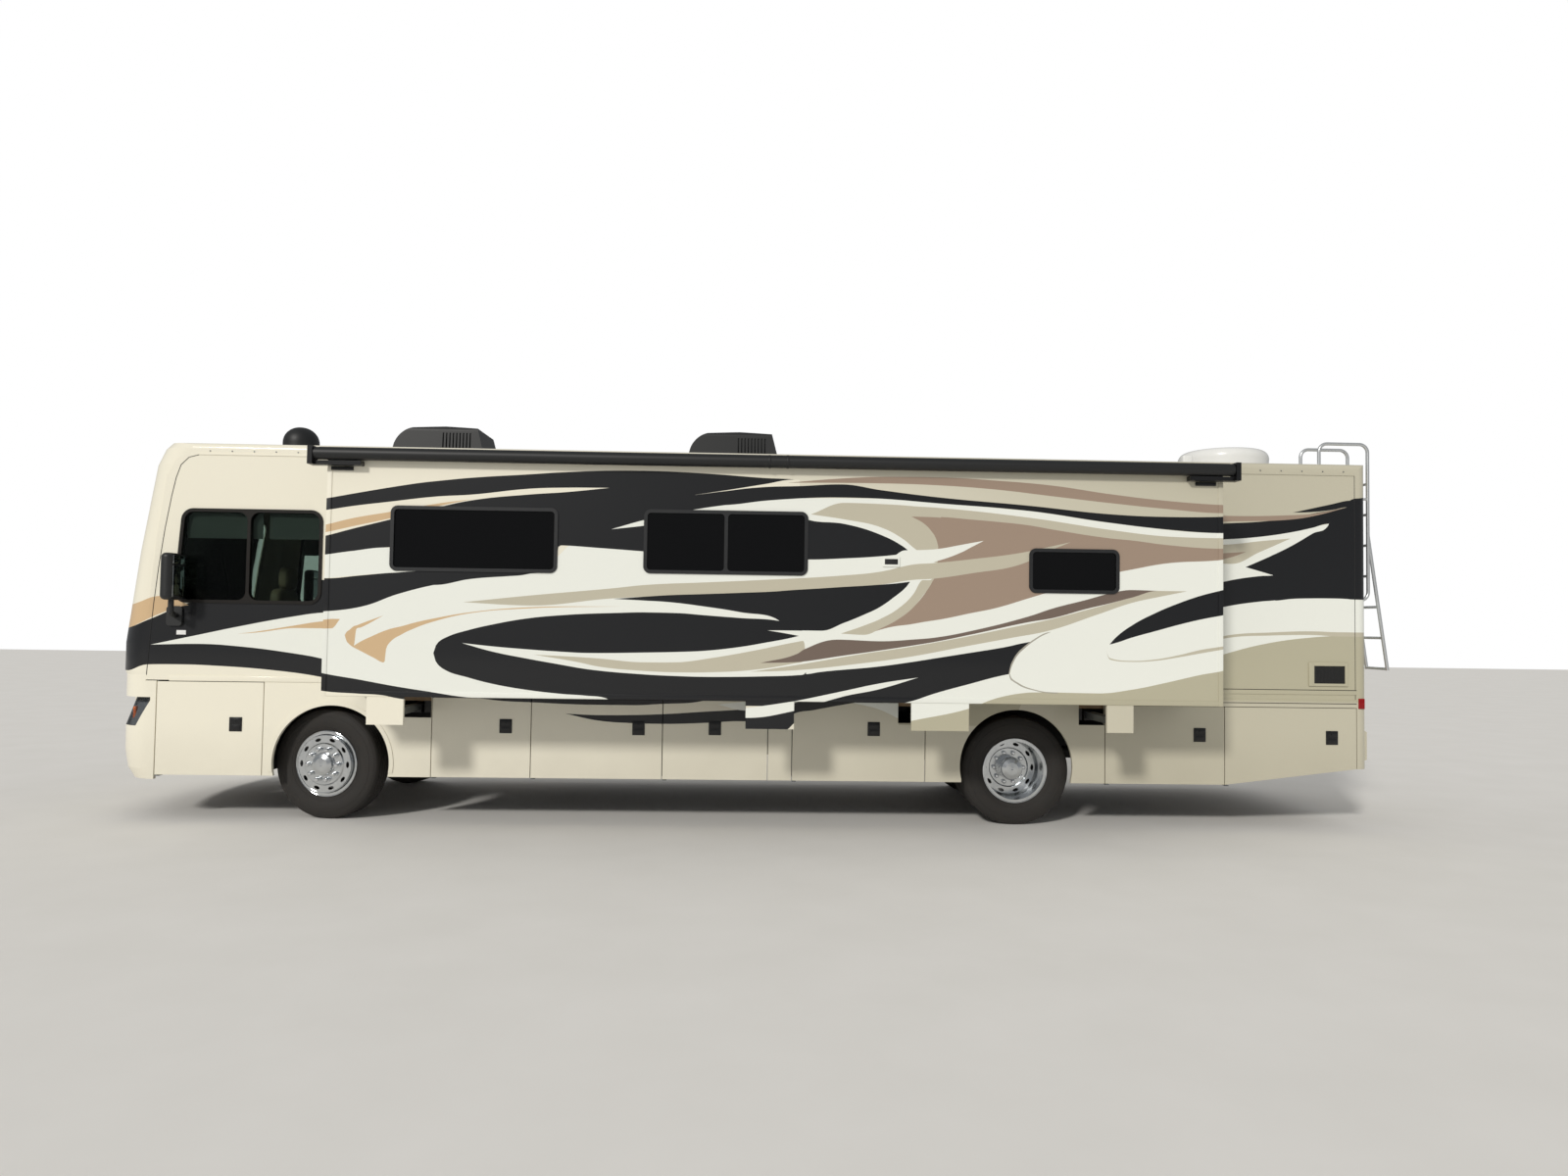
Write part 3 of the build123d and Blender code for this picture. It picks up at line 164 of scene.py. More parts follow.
# Chassis frame and running gear.
# Two pressed-steel C rails with welded crossmembers carry the deck; a forged beam axle steers in
# front, and a driven axle on four air bags stands behind. All of it is sprayed chassis black.
def finish(name, light, dark, grain_mm, rough, bump_mm=0.0, **sockets):
    """A surface that wanders between two shades over grain_mm, with that grain as low relief."""
    made, tree, coords = blank(name)
    pattern = {"Vector": coords, "Scale": 1000 / grain_mm, "Detail": 4.0, "Roughness": 0.6}
    grain = add(tree, "TexNoise", pattern)
    tone = add(tree, "Mix", {0: grain, 6: light, 7: dark}, data_type="RGBA")
    gloss = add(tree, "MapRange", {0: grain, 3: rough * 0.8, 4: min(rough * 1.2, 1.0)})
    inputs = {"Base Color": tone.outputs[2], "Roughness": gloss}
    inputs.update({key.replace("_", " "): value for key, value in sockets.items()})
    if bump_mm:
        relief = add(tree, "Bump", {"Strength": 0.6, "Distance": bump_mm / 1000, "Height": grain})
        inputs["Normal"] = relief
    shell = add(tree, "BsdfPrincipled", inputs)
    add(tree, "OutputMaterial", {"Surface": shell})
    return made


def dress(material, *names):
    """Gives CAD nodes a material in place of their own."""
    for name in names:
        slots = node[name].data.materials
        slots.clear()
        slots.append(material)


# Sprayed chassis enamel: near black and satin, browned a little by dust.
chassis_black = finish("chassis_enamel", "1B1B1C", "2A2927", 60, 0.55, 0.4)
dress(chassis_black, "chassis_frame", "front_axle", "rear_axle", "left_knuckle", "right_knuckle",
      "engine_block")
# Hot-dip galvanised steel: dull grey with a cloudy spangle.
galvanised = finish("galvanised_steel", "8E9294", "74787A", 45, 0.45, 0.1, Metallic=0.9)
dress(galvanised, "fuel_tank", "door_hinges", "slide_arms")
# Moulded bellows rubber: black, matt and finely grained.
dress(finish("bellows_rubber", "161616", "202020", 12, 0.8, 0.3), "air_springs")

# Deck and luggage bays.
# The deck is a plywood and foam sandwich over steel sills; the bays are rotomoulded polythene tubs
# hung outside the rails.

# Sealed plywood: warm brown with broad, soft figure.
dress(finish("sealed_plywood", "8A7356", "6F5B43", 120, 0.6, 0.3), "floor_deck")
# Rotomoulded polythene: black, with the dull pebble of its mould.
dress(finish("rotomoulded_polythene", "202122", "2B2C2D", 8, 0.7, 0.3), "luggage_bays")


# Wheels and tyres.
# Forged and polished aluminium discs with ten hand holes, held by ten nuts under chrome caps; the
# rear pair are twins. The tyres are radial truck tyres with straight rain grooves.
def on_all(operator, **settings):
    """Runs one edit-mode operator on the whole mesh of the active piece."""
    bpy.ops.object.mode_set(mode="EDIT")
    bpy.ops.mesh.select_all(action="SELECT")
    operator(**settings)
    bpy.ops.object.mode_set(mode="OBJECT")


def modified(made, kind, **settings):
    """Applies one modifier, with its settings, to the active piece."""
    modifier = made.modifiers.new(kind.lower(), kind)
    for name, value in settings.items():
        setattr(modifier, name, value)
    bpy.ops.object.modifier_apply(modifier=modifier.name)


def bar(radius, start, end, bevel=0.0, sides=20):
    """A round bar between two points of the coach, with its two rims rounded by bevel."""
    a, b = place(*start), place(*end)
    turn = (b - a).to_track_quat("Z", "Y").to_euler()
    made = primitive(bpy.ops.mesh.primitive_cylinder_add, radius=radius, depth=(b - a).length,
                     vertices=sides, location=(a + b) / 2, rotation=turn)
    if bevel:
        modified(made, "BEVEL", width=bevel, segments=3, angle_limit=math.radians(60))
    return made


def copied(source, matrix):
    """A copy with its own mesh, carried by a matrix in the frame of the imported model."""
    made = source.copy()
    made.data = source.data.copy()
    bpy.context.scene.collection.objects.link(made)
    made.data.transform(matrix)
    if matrix.determinant() < 0:
        made.data.flip_normals()
    return made


def piece(name, material, parts, body="coach", smooth=35):
    """Joins parts into one named piece of one material that rides the coach, or another body."""
    bpy.ops.object.select_all(action="DESELECT")
    for part in parts:
        part.select_set(True)
    bpy.context.view_layer.objects.active = parts[0]
    if len(parts) > 1:
        bpy.ops.object.join()
    made = bpy.context.object
    made.name = name
    made.data.name = name
    made.data.materials.clear()
    made.data.materials.append(material)
    bpy.ops.object.shade_smooth_by_angle(angle=math.radians(smooth))
    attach(made, body)
    return made


# Polished forged aluminium: bright, with the faint haze of road use.
polished = finish("polished_aluminium", "DADCDD", "B4B8BB", 90, 0.2, 0.05, Metallic=1.0)
dress(polished, *[name for name in node if "rim" in name])
# Chrome plate: a clean mirror, a shade bluer than the disc.
chrome = finish("chrome_plate", "E4E6E8", "D2D5D8", 40, 0.08, Metallic=1.0)
# Cast iron of the drums: dark, rough and a little rusted.
cast_iron = finish("cast_iron_drum", "1E1B19", "2C2622", 15, 0.75, 0.5)
# Tyre rubber: dull black with road dust in its grain.
rubber = finish("tyre_rubber", "1B1A19", "332F2B", 110, 0.78, 0.3)

# Axles along the coach and above the ground, middle plane of the outer tyres, and steering pins.
front_axle_x, rear_axle_x, axle_z, tyre_out, pin_out = 0.030, 6.400, 0.5055, 1.082, 1.010
steer = math.radians(-10)
nut_circle, nut_count, drum_radius, twin_step = 0.1429, 10, 0.205, 0.311
# Half of a tyre's section, bead to shoulder: distance from the axle and from the middle plane, in mm.
sidewall = [(286.3, 101), (299.3, 101), (318.3, 118), (336, 124.4), (338, 127.2), (344, 129.4), (346, 128.2),
            (366.3, 136), (406.3, 138), (428, 135.4), (430, 136.6), (436, 135.8), (438, 133.6), (460.5, 130),
            (477, 124), (479, 121.2), (484, 119), (486, 120), (493.5, 116), (499, 108), (505.5, 93)]
tread, groove_half, groove_floor, groove_depth = 505.5, 5.5, 3.5, 14
groove_middles = (62, 21, -21, -62)


def wheel_place(x, sign, turn):
    """Carries what is drawn about +Z at the origin to a wheel: +Z points outboard, turned about its pin."""
    stand = Matrix.Rotation(math.radians(-90 * sign), 4, "X")
    out = Matrix.Translation(place(x, sign * tyre_out, axle_z)) @ stand
    pin = Matrix.Translation(place(x, sign * pin_out, axle_z))
    return pin @ Matrix.Rotation(turn, 4, "Z") @ pin.inverted() @ out


def drum(name, body, at, inner, outer):
    """The brake drum behind the disc, seen through its hand holes."""
    part = bar(drum_radius, zero + Vector((0, 0, inner)), zero + Vector((0, 0, outer)), 0.004, 48)
    part.data.transform(at)
    return piece(name, cast_iron, [part], body)


def wheel_caps(name, body, at, face, hub):
    """Ten nut caps on their seats at the disc's face, and collars round the hub, the disc and the rim."""
    nut, parts = zero + Vector((nut_circle, 0, face)), []
    for radius, height, bevel in ((0.019, 0.046, 0.008), (0.025, 0.009, 0.003)):
        part = bar(radius, nut, nut + Vector((0, 0, height)), bevel)
        turns = [Matrix.Rotation(math.tau * i / nut_count, 4, "Z") for i in range(1, nut_count)]
        parts += [part] + [copied(part, turn) for turn in turns]
    for radius, height, thick in ((0.104, hub, 0.006), (0.262, face - 0.012, 0.004), (0.3, 0.112, 0.0045)):
        parts.append(primitive(bpy.ops.mesh.primitive_torus_add, major_radius=radius, minor_radius=thick,
                               major_segments=64, minor_segments=8, location=(0, 0, height)))
    for part in parts:
        part.data.transform(at)
    return piece(name, chrome, parts, body)


def tyre(at):
    """One radial tyre with four rain grooves, its section turned about the axle."""
    section = sidewall[:]
    for middle in groove_middles:
        section += [(tread, middle + groove_half), (tread - groove_depth, middle + groove_floor),
                    (tread - groove_depth, middle - groove_floor), (tread, middle - groove_half)]
    section += [(radius, -reach) for radius, reach in reversed(sidewall)]
    made = primitive(bpy.ops.mesh.primitive_circle_add, vertices=len(section), radius=1)
    for vertex, (radius, reach) in zip(made.data.vertices, section):
        vertex.co = (radius / 1000, 0, reach / 1000)
    on_all(bpy.ops.mesh.spin, steps=96, angle=math.tau, center=(0, 0, 0), axis=(0, 0, 1),
           use_auto_merge=True)
    on_all(bpy.ops.mesh.normals_make_consistent, inside=False)
    made.data.transform(at)
    return made


for sign, hand in ((-1, "left"), (1, "right")):
    front_body, front_at = f"front_{hand}_wheel", wheel_place(front_axle_x, sign, steer)
    rear_body, rear_at = f"rear_{hand}_wheels", wheel_place(rear_axle_x, sign, 0.0)
    drum(f"front_{hand}_brake_drum", front_body, front_at, 0.03, 0.125)
    drum(f"rear_{hand}_brake_drum", rear_body, rear_at, -0.30, -0.185)
    wheel_caps(front_body + "_caps", front_body, front_at, 0.1555, 0.158)
    wheel_caps(f"rear_{hand}_wheel_caps", rear_body, rear_at, -0.1555, -0.028)
    front = piece(f"front_{hand}_tread_tyre", rubber, [tyre(front_at)], front_body, 28)
    twins = [tyre(rear_at), tyre(rear_at @ Matrix.Translation((0, 0, -twin_step)))]
    rear = piece(f"rear_{hand}_tread_tyres", rubber, twins, rear_body, 28)
    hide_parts(f"front_{hand}_tyre")
    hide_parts(f"rear_{hand}_tyres")

# Body paint.
# Glassfibre sandwich walls, moulded caps and skirts are sprayed as one body in cream that turns to
# champagne aft, a change partly in the paint and partly a painted reflection of darker surroundings,
# masked for sweeping black, white, taupe, khaki and tan waves, under clear lacquer.

cream, champagne_and_reflection, lower_khaki, outline = "F0EBD9", "C4BFAB", "B8B39B", "A7A396"
white, black, taupe, khaki, tan, umber = "EEF0E8", "131417", "A08C7B", "C2BCA8", "D2B48C", "74655B"
# Each wave lies between an upper and a lower curve along the coach. A row is (x, upper z, lower z) in
# metres, or (x, z) where the two curves meet, and a later wave is sprayed over an earlier one.
waves = [
    # Nose sweep, white field above the skirts, khaki of the lower tail.
    (black, [(-2.3, 1.7, 1.34), (-1.8, 1.745, 1.345), (-1.613, 1.81, 1.403), (-1.3, 1.95, 1.408),
     (-1.0, 2.05, 1.4), (-0.5, 2.15, 1.368), (-0.04, 2.2, 1.31), (0.28, 2.186, 1.236), (0.585, 2.215, 1.215),
     (0.8, 2.238, 1.203), (0.914, 2.247, 1.18), (1.2, 2.3, 1.15), (1.5, 2.32, 1.14), (2.2, 2.32, 1.14),
     (2.25, 1.14)]),
    (white, [(-1.577, 1.585), (-1.13, 1.685, 1.597), (-0.806, 1.758, 1.581), (-0.306, 1.858, 1.524),
     (-0.04, 1.898, 1.479), (0.28, 1.905, 1.386), (0.585, 1.947, 1.335), (0.9, 2.061, 1.28),
     (1.2, 2.143, 1.236), (1.5, 2.197, 1.195), (1.7, 2.22, 1.185), (2.0, 2.25, 1.185), (2.5, 2.6, 1.185),
     (3.5, 2.8, 1.185), (4.3, 2.936, 1.185), (5.0, 2.946, 1.1), (5.5, 2.914, 0.95), (6.05, 2.88, 0.95),
     (6.1, 2.875, 1.19), (6.3, 2.861, 1.19), (7.0, 2.771, 1.19), (7.986, 2.697, 1.19), (8.41, 2.715, 1.6),
     (9.0, 2.79, 1.7), (9.361, 2.876, 1.8), (10.0, 2.95, 1.8)]),
    (lower_khaki, [(5.286, 1.038, 0.93), (5.783, 1.149, 0.93), (6.0, 1.235, 0.93), (6.3, 1.293, 0.93),
     (6.5, 1.296, 1.19), (6.9, 1.293, 1.19), (7.2, 1.329, 1.19), (7.5, 1.393, 1.19), (7.8, 1.464, 1.19),
     (7.986, 1.5, 1.19), (8.41, 1.645, 1.19), (8.8, 1.742, 1.19), (9.2, 1.798, 1.19), (9.43, 1.815, 1.19),
     (10.0, 1.85, 1.19)]),
    # Front of the room, over and round its first window.
    (black, [(0.276, 2.865, 2.385), (0.5, 2.91, 2.42), (0.9, 2.985, 2.46), (1.05, 3.01, 2.4),
     (1.12, 3.02, 2.2), (1.2, 3.03, 2.143), (1.5, 3.064, 2.197), (2.0, 3.103, 2.25), (2.2, 3.12, 2.3),
     (2.26, 3.124, 2.497), (2.6, 3.143, 2.48), (2.98, 3.15, 2.457), (3.5, 3.136, 2.43), (4.0, 3.107, 2.415),
     (4.257, 3.097, 2.41), (4.29, 2.8, 2.41), (4.364, 2.757, 2.41), (4.7, 2.721, 2.425), (5.0, 2.636, 2.447),
     (5.2, 2.536, 2.47), (5.271, 2.479)]),
    (cream, [(0.276, 2.765, 2.545), (0.5, 2.804, 2.61), (0.8, 2.845, 2.69), (1.2, 2.897, 2.8),
     (1.5, 2.919, 2.87), (2.0, 2.979, 2.93), (2.3, 2.993, 2.955), (2.67, 2.998)]),
    (tan, [(0.276, 2.64, 2.575), (0.5, 2.7, 2.63), (0.8, 2.757, 2.7), (1.2, 2.835, 2.81), (1.5, 2.88)]),
    (white, [(0.276, 2.385, 2.186), (0.5, 2.42, 2.21), (0.8, 2.455, 2.238), (0.95, 2.4, 2.25),
     (1.12, 2.265)]),
    (white, [(2.693, 2.643), (2.98, 2.729, 2.679), (3.386, 2.821, 2.74), (3.8, 2.886, 2.765),
     (4.0, 2.91, 2.77), (4.3, 2.936, 2.762), (4.364, 2.94, 2.757), (4.37, 2.8)]),
    (cream, [(3.4, 2.95), (3.7, 3.0, 2.993), (4.0, 3.054, 3.029), (4.257, 3.097, 3.041),
     (4.3, 3.097, 3.043)]),
    # Long upper sweep to the tail, khaki crescent and taupe plume.
    (black, [(3.3, 2.92), (3.45, 2.94, 2.86), (3.7, 2.993, 2.87), (4.0, 3.029, 2.91), (4.3, 3.043, 2.936),
     (4.67, 3.064, 2.95), (5.0, 3.021, 2.946), (5.5, 2.967, 2.914), (6.3, 2.907, 2.861), (7.0, 2.846, 2.771),
     (7.5, 2.831, 2.721), (7.986, 2.84, 2.697), (8.41, 2.866, 2.715), (8.7, 2.885, 2.742), (9.0, 2.925, 2.79),
     (9.2, 2.97, 2.835), (9.361, 3.0, 2.876), (9.534, 3.035, 2.85), (10.0, 3.1, 2.85)]),
    (khaki, [(4.4, 2.8), (4.7, 2.905, 2.76), (5.0, 2.9, 2.7), (5.2, 2.892, 2.6), (5.3, 2.885, 2.52),
     (5.5, 2.876, 2.4), (6.3, 2.803, 2.5), (7.0, 2.71, 2.5), (7.5, 2.66, 2.5), (7.986, 2.653, 2.5),
     (8.41, 2.665, 2.48), (8.7, 2.7, 2.6), (8.99, 2.73)]),
    (taupe, [(4.915, 1.787), (5.11, 1.877, 1.842), (5.266, 1.987, 1.865), (5.377, 2.111, 1.886),
     (5.44, 2.209, 1.897), (5.479, 2.284, 1.903), (5.5, 2.4, 1.907), (5.52, 2.796, 1.91), (5.8, 2.778, 1.971),
     (6.0, 2.764, 2.014), (6.3, 2.736, 2.107), (6.5, 2.704, 2.17), (7.0, 2.636, 2.325), (7.2, 2.62, 2.369),
     (7.5, 2.586, 2.426), (7.986, 2.561, 2.464), (8.41, 2.585, 2.54), (8.566, 2.597)]),
    (khaki, [(4.671, 1.778), (4.866, 1.848, 1.77), (5.021, 1.914, 1.83), (5.182, 2.014, 1.92),
     (5.294, 2.128, 2.012), (5.366, 2.247, 2.1), (5.44, 2.25, 2.205), (5.479, 2.284)]),
    (taupe, [(5.272, 2.796), (5.396, 2.795, 2.724), (5.45, 2.794, 2.665), (5.476, 2.793, 2.627),
     (5.5, 2.792, 2.56), (5.51, 2.791, 2.5), (5.52, 2.79, 2.3), (5.6, 2.788, 2.3), (6.0, 2.764, 2.3)]),
    # Ribbon under the windows, two black ovals.
    (khaki, [(1.45, 2.0), (2.0, 2.064, 1.98), (2.7, 2.136, 2.05), (3.0, 2.171, 2.071), (3.5, 2.2, 2.1),
     (4.0, 2.229, 2.12), (4.7, 2.279, 2.18), (5.0, 2.314, 2.203), (5.3, 2.383, 2.25), (5.45, 2.395, 2.26),
     (5.8, 2.436, 2.314), (6.2, 2.493, 2.39), (6.5, 2.56, 2.53), (6.657, 2.596)]),
    (white, [(5.13, 2.455), (5.2, 2.5, 2.4), (5.4, 2.51, 2.393), (5.514, 2.521, 2.42), (5.7, 2.557, 2.49),
     (5.8, 2.577, 2.543), (5.9, 2.596)]),
    (black, [(2.72, 2.047), (3.0, 2.071, 2.036), (3.2, 2.086, 2.026), (3.5, 2.1, 1.993), (3.8, 2.115, 1.95),
     (4.143, 2.135, 1.879), (4.16, 2.137, 1.8), (4.5, 2.164, 1.8), (4.7, 2.18, 1.871), (4.87, 2.192, 1.943),
     (5.0, 2.203, 2.007), (5.13, 2.215, 2.1), (5.23, 2.228, 2.186), (5.264, 2.233)]),
    (black, [(1.211, 1.564), (1.243, 1.65, 1.479), (1.33, 1.707, 1.415), (1.5, 1.764, 1.364),
     (1.7, 1.814, 1.314), (2.0, 1.871, 1.264), (2.3, 1.903, 1.233), (2.5, 1.917, 1.221), (2.68, 1.925, 1.2),
     (2.75, 1.928, 1.15), (3.0, 1.936, 1.15), (3.3, 1.933, 1.15), (3.5, 1.919, 1.15), (3.8, 1.9, 1.15),
     (4.143, 1.879, 1.15), (4.3, 1.83, 1.15), (4.345, 1.8, 1.15), (4.37, 1.427, 1.15), (4.5, 1.447, 1.15),
     (5.0, 1.5, 1.15), (5.27, 1.54, 1.203), (5.5, 1.579, 1.279), (5.8, 1.63, 1.364), (6.0, 1.664, 1.42),
     (6.133, 1.69, 1.45), (6.2, 1.707, 1.46), (6.343, 1.736)]),
    # White teardrop by the rear wheel, outlined.
    (outline, [(6.125, 1.454), (6.137, 1.513, 1.412), (6.162, 1.573, 1.388), (6.192, 1.623, 1.369),
     (6.242, 1.675, 1.341), (6.343, 1.752, 1.312), (6.45, 1.81, 1.291), (6.55, 1.82, 1.287), (6.56, 1.5)]),
    (white, [(6.133, 1.454), (6.145, 1.5, 1.422), (6.17, 1.56, 1.397), (6.2, 1.61, 1.379),
     (6.25, 1.662, 1.351), (6.343, 1.738, 1.321), (6.45, 1.8, 1.3), (6.6, 1.84, 1.296), (6.9, 1.8, 1.293),
     (6.92, 1.5)]),
    # Ribbons in and below the lower oval.
    (white, [(1.45, 1.653), (1.7, 1.629, 1.586), (2.0, 1.607, 1.529), (2.3, 1.59, 1.479), (2.5, 1.583, 1.447),
     (3.0, 1.593, 1.407), (3.3, 1.603, 1.396), (3.5, 1.614, 1.393), (3.8, 1.65, 1.397), (4.0, 1.686, 1.403),
     (4.3, 1.75, 1.417), (4.36, 1.77, 1.425), (4.4, 1.5)]),
    (khaki, [(2.057, 1.563), (2.427, 1.548, 1.505), (2.613, 1.537, 1.468), (2.985, 1.51, 1.437),
     (3.3, 1.515, 1.428), (3.544, 1.55, 1.432), (3.92, 1.62, 1.457), (4.289, 1.7, 1.52), (4.35, 1.71, 1.535),
     (4.37, 1.6)]),
    (white, [(4.043, 1.797), (4.2, 1.798, 1.773), (4.34, 1.798, 1.75), (4.45, 1.8, 1.74)]),
    (umber, [(3.986, 1.517), (4.3, 1.6, 1.529), (4.36, 1.639, 1.535), (4.657, 1.726, 1.583),
     (5.0, 1.717, 1.636), (5.3, 1.736, 1.685), (5.5, 1.757, 1.721), (5.8, 1.817, 1.786), (6.3, 1.95, 1.9),
     (6.5, 2.019, 1.936), (6.8, 2.1, 2.021), (7.0, 2.157, 2.071), (7.2, 2.19, 2.126), (7.43, 2.186)]),
    (khaki, [(3.9, 1.44), (4.3, 1.505, 1.46), (4.86, 1.606, 1.526), (5.247, 1.668, 1.583),
     (5.765, 1.768, 1.686), (6.15, 1.852, 1.762), (6.48, 1.925, 1.83), (6.9, 2.04, 1.975), (7.2, 2.126, 2.08),
     (7.43, 2.186, 2.133), (7.68, 2.186)]),
    # Black claws of the tail and two ribbons.
    (black, [(7.0, 1.715), (7.057, 1.779, 1.73), (7.2, 1.886, 1.779), (7.4, 1.993, 1.836),
     (7.6, 2.079, 1.893), (7.8, 2.15, 1.943), (7.986, 2.2, 1.981), (8.35, 2.311, 2.073), (8.7, 2.37, 2.129),
     (8.82, 2.379, 2.14), (8.86, 2.39, 2.145), (9.0, 2.66, 2.158)]),
    (black, [(8.558, 2.452), (8.8, 2.561, 2.385), (8.82, 2.571, 2.379), (8.84, 2.58, 2.14),
     (9.0, 2.661, 2.158), (9.2, 2.78, 2.166), (9.361, 2.876, 2.168), (9.39, 2.99, 2.168),
     (9.534, 3.035, 2.165), (9.56, 3.1, 2.162), (9.687, 3.129, 2.16), (10.0, 3.2, 2.158)]),
    (black, [(9.01, 2.976), (9.2, 3.02, 2.985), (9.4, 3.066, 3.01), (9.534, 3.098, 3.035), (9.56, 3.1, 2.9),
     (9.687, 3.129, 2.9), (10.0, 3.2, 2.9)]),
    (taupe, [(4.2, 3.07), (4.6, 3.11, 3.076), (5.0, 3.136, 3.079), (5.5, 3.14, 3.071), (6.0, 3.121, 3.043),
     (6.5, 3.086, 2.993), (7.0, 3.021, 2.943), (7.5, 2.971, 2.9), (7.986, 2.943, 2.871), (8.41, 2.935, 2.882),
     (9.0, 2.952, 2.911), (9.2, 2.968, 2.944), (9.534, 3.035)]),
    (khaki, [(6.975, 1.66), (7.0, 1.6, 1.587), (7.2, 1.577, 1.568), (7.4, 1.592, 1.58), (7.6, 1.63, 1.612),
     (7.8, 1.68, 1.65), (7.986, 1.712, 1.685), (8.41, 1.81, 1.785), (8.8, 1.839, 1.81), (9.2, 1.855, 1.82),
     (9.43, 1.85, 1.81), (10.0, 1.85, 1.81)]),
    # What runs on over covers and luggage doors.
    # This thin black band under the room's edge is partly a stripe and partly a painted shadow of the room.
    (black, [(1.3, 1.16), (1.4, 1.18, 1.135), (2.0, 1.18, 1.096), (2.5, 1.18, 1.084), (2.8, 1.19, 1.084),
     (3.1, 1.19, 1.1), (3.4, 1.19, 1.12), (3.6, 1.17)]),
    (black, [(2.2, 1.0), (2.5, 0.99, 0.94), (2.8, 0.994, 0.92), (3.1, 1.006, 0.916), (3.5, 1.034, 0.93),
     (3.8, 1.055, 0.948), (4.2, 1.1, 0.948), (4.3, 1.2, 1.02), (4.5, 1.2, 1.06), (4.7, 1.2, 1.1),
     (4.94, 1.2, 1.144), (5.27, 1.203)]),
    (white, [(3.6, 1.1), (3.865, 1.131, 1.048), (4.279, 1.195, 1.112), (4.34, 1.207, 1.13),
     (4.7, 1.286, 1.24), (5.0, 1.353, 1.304), (5.343, 1.41)]),
    # Tan flames at the nose and the room's front.
    (tan, [(-2.3, 1.93, 1.7), (-1.8, 1.955, 1.745), (-1.734, 1.968, 1.765), (-1.5, 2.03, 1.871),
     (-1.35, 2.0, 1.93), (-1.25, 1.95)]),
    (tan, [(-0.8, 1.694), (-0.61, 1.72, 1.71), (-0.306, 1.774, 1.753), (-0.04, 1.818, 1.755),
     (0.28, 1.835, 1.76), (0.36, 1.843, 1.764), (0.421, 1.843)]),
    (tan, [(0.464, 1.707), (0.48, 1.735, 1.66), (0.5, 1.75, 1.635), (0.54, 1.785, 1.61), (0.56, 1.79, 1.76),
     (0.6, 1.807, 1.775), (0.786, 1.879)]),
    (tan, [(0.53, 1.61), (0.6, 1.655, 1.575), (0.7, 1.705, 1.525), (0.8, 1.75, 1.48), (0.815, 1.755, 1.6),
     (0.843, 1.765, 1.65), (0.943, 1.79, 1.721), (1.043, 1.82, 1.771), (1.2, 1.857, 1.83),
     (1.5, 1.914, 1.905), (2.0, 1.965, 1.955), (2.8, 1.984)]),
]
paint, tree, coords = blank("lacquered_body_paint")
coords = add(tree, "Mapping", {"Vector": coords, "Location": zero})
split = add(tree, "SeparateXYZ", {0: coords})
along_x, height = split.outputs["X"], split.outputs["Z"]
# Both axes of a curve node run from 0 to 1, so heights are divided by curve_top.
curve_top = 4.0
level_z = add(tree, "Math", {0: height, 1: curve_top}, operation="DIVIDE")
# Toward the tail the cream is mixed to champagne: partly the paint's own tone, partly a painted reflection.
aft = add(tree, "MapRange", {0: along_x, 1: 1.0, 2: 8.6}, interpolation_type="SMOOTHSTEP")
base = {0: aft, 6: cream, 7: champagne_and_reflection}
colour = add(tree, "Mix", base, data_type="RGBA").outputs[2]
for shade, rows in waves:
    first, last = rows[0][0], rows[-1][0]
    run = add(tree, "MapRange", {0: along_x, 1: first, 2: last})
    reach = {0: along_x, 1: (first + last) / 2, 2: (last - first) / 2}
    span = add(tree, "Math", reach, operation="COMPARE")
    edges = []
    for column in (1, -1):
        edge = add(tree, "FloatCurve", {"Value": run})
        curve = edge.mapping.curves[0]
        for row in rows[1:-1]:
            curve.points.new((row[0] - first) / (last - first), row[column] / curve_top)
        curve.points[0].location = (0.0, rows[0][column] / curve_top)
        curve.points[len(curve.points) - 1].location = (1.0, rows[-1][column] / curve_top)
        for point in curve.points:
            point.handle_type = "AUTO_CLAMPED"
        edge.mapping.update()
        edges.append(edge)
    under = add(tree, "Math", {0: level_z, 1: edges[0]}, operation="LESS_THAN")
    over = add(tree, "Math", {0: level_z, 1: edges[1]}, operation="GREATER_THAN")
    band = add(tree, "Math", {0: under, 1: over}, operation="MULTIPLY")
    mask = add(tree, "Math", {0: band, 1: span}, operation="MULTIPLY")
    colour = add(tree, "Mix", {0: mask, 6: colour, 7: shade}, data_type="RGBA").outputs[2]
# Road film greys the paint a little low down; the lacquer has a fine orange peel.
film = add(tree, "TexNoise", {"Vector": coords, "Scale": 2.2, "Detail": 5.0})
film_top, film_foot, film_share = 0.9, 0.35, 0.35
low = add(tree, "MapRange", {0: height, 1: film_top, 2: film_foot, 3: 0.0, 4: film_share})
dust = add(tree, "Math", {0: film, 1: low}, operation="MULTIPLY")
colour = add(tree, "Mix", {0: dust, 6: colour, 7: "9C9482"}, data_type="RGBA").outputs[2]
peel = add(tree, "TexNoise", {"Vector": coords, "Scale": 260.0, "Detail": 1.0})
relief = add(tree, "Bump", {"Strength": 0.05, "Distance": 0.0004, "Height": peel})
shell = add(tree, "BsdfPrincipled", {"Base Color": colour, "Roughness": 0.38, "Specular IOR Level": 0.3,
                                     "Coat Weight": 0.35, "Coat Roughness": 0.06, "Normal": relief})
add(tree, "OutputMaterial", {"Surface": shell})
dress(paint, "front_cap", "rear_cap", "left_wall", "right_wall", "side_skirts", "slide_wall", "arm_covers",
      "entry_door", "engine_door", "left_engine_side_door", *[name for name in node if "bay_door" in name])
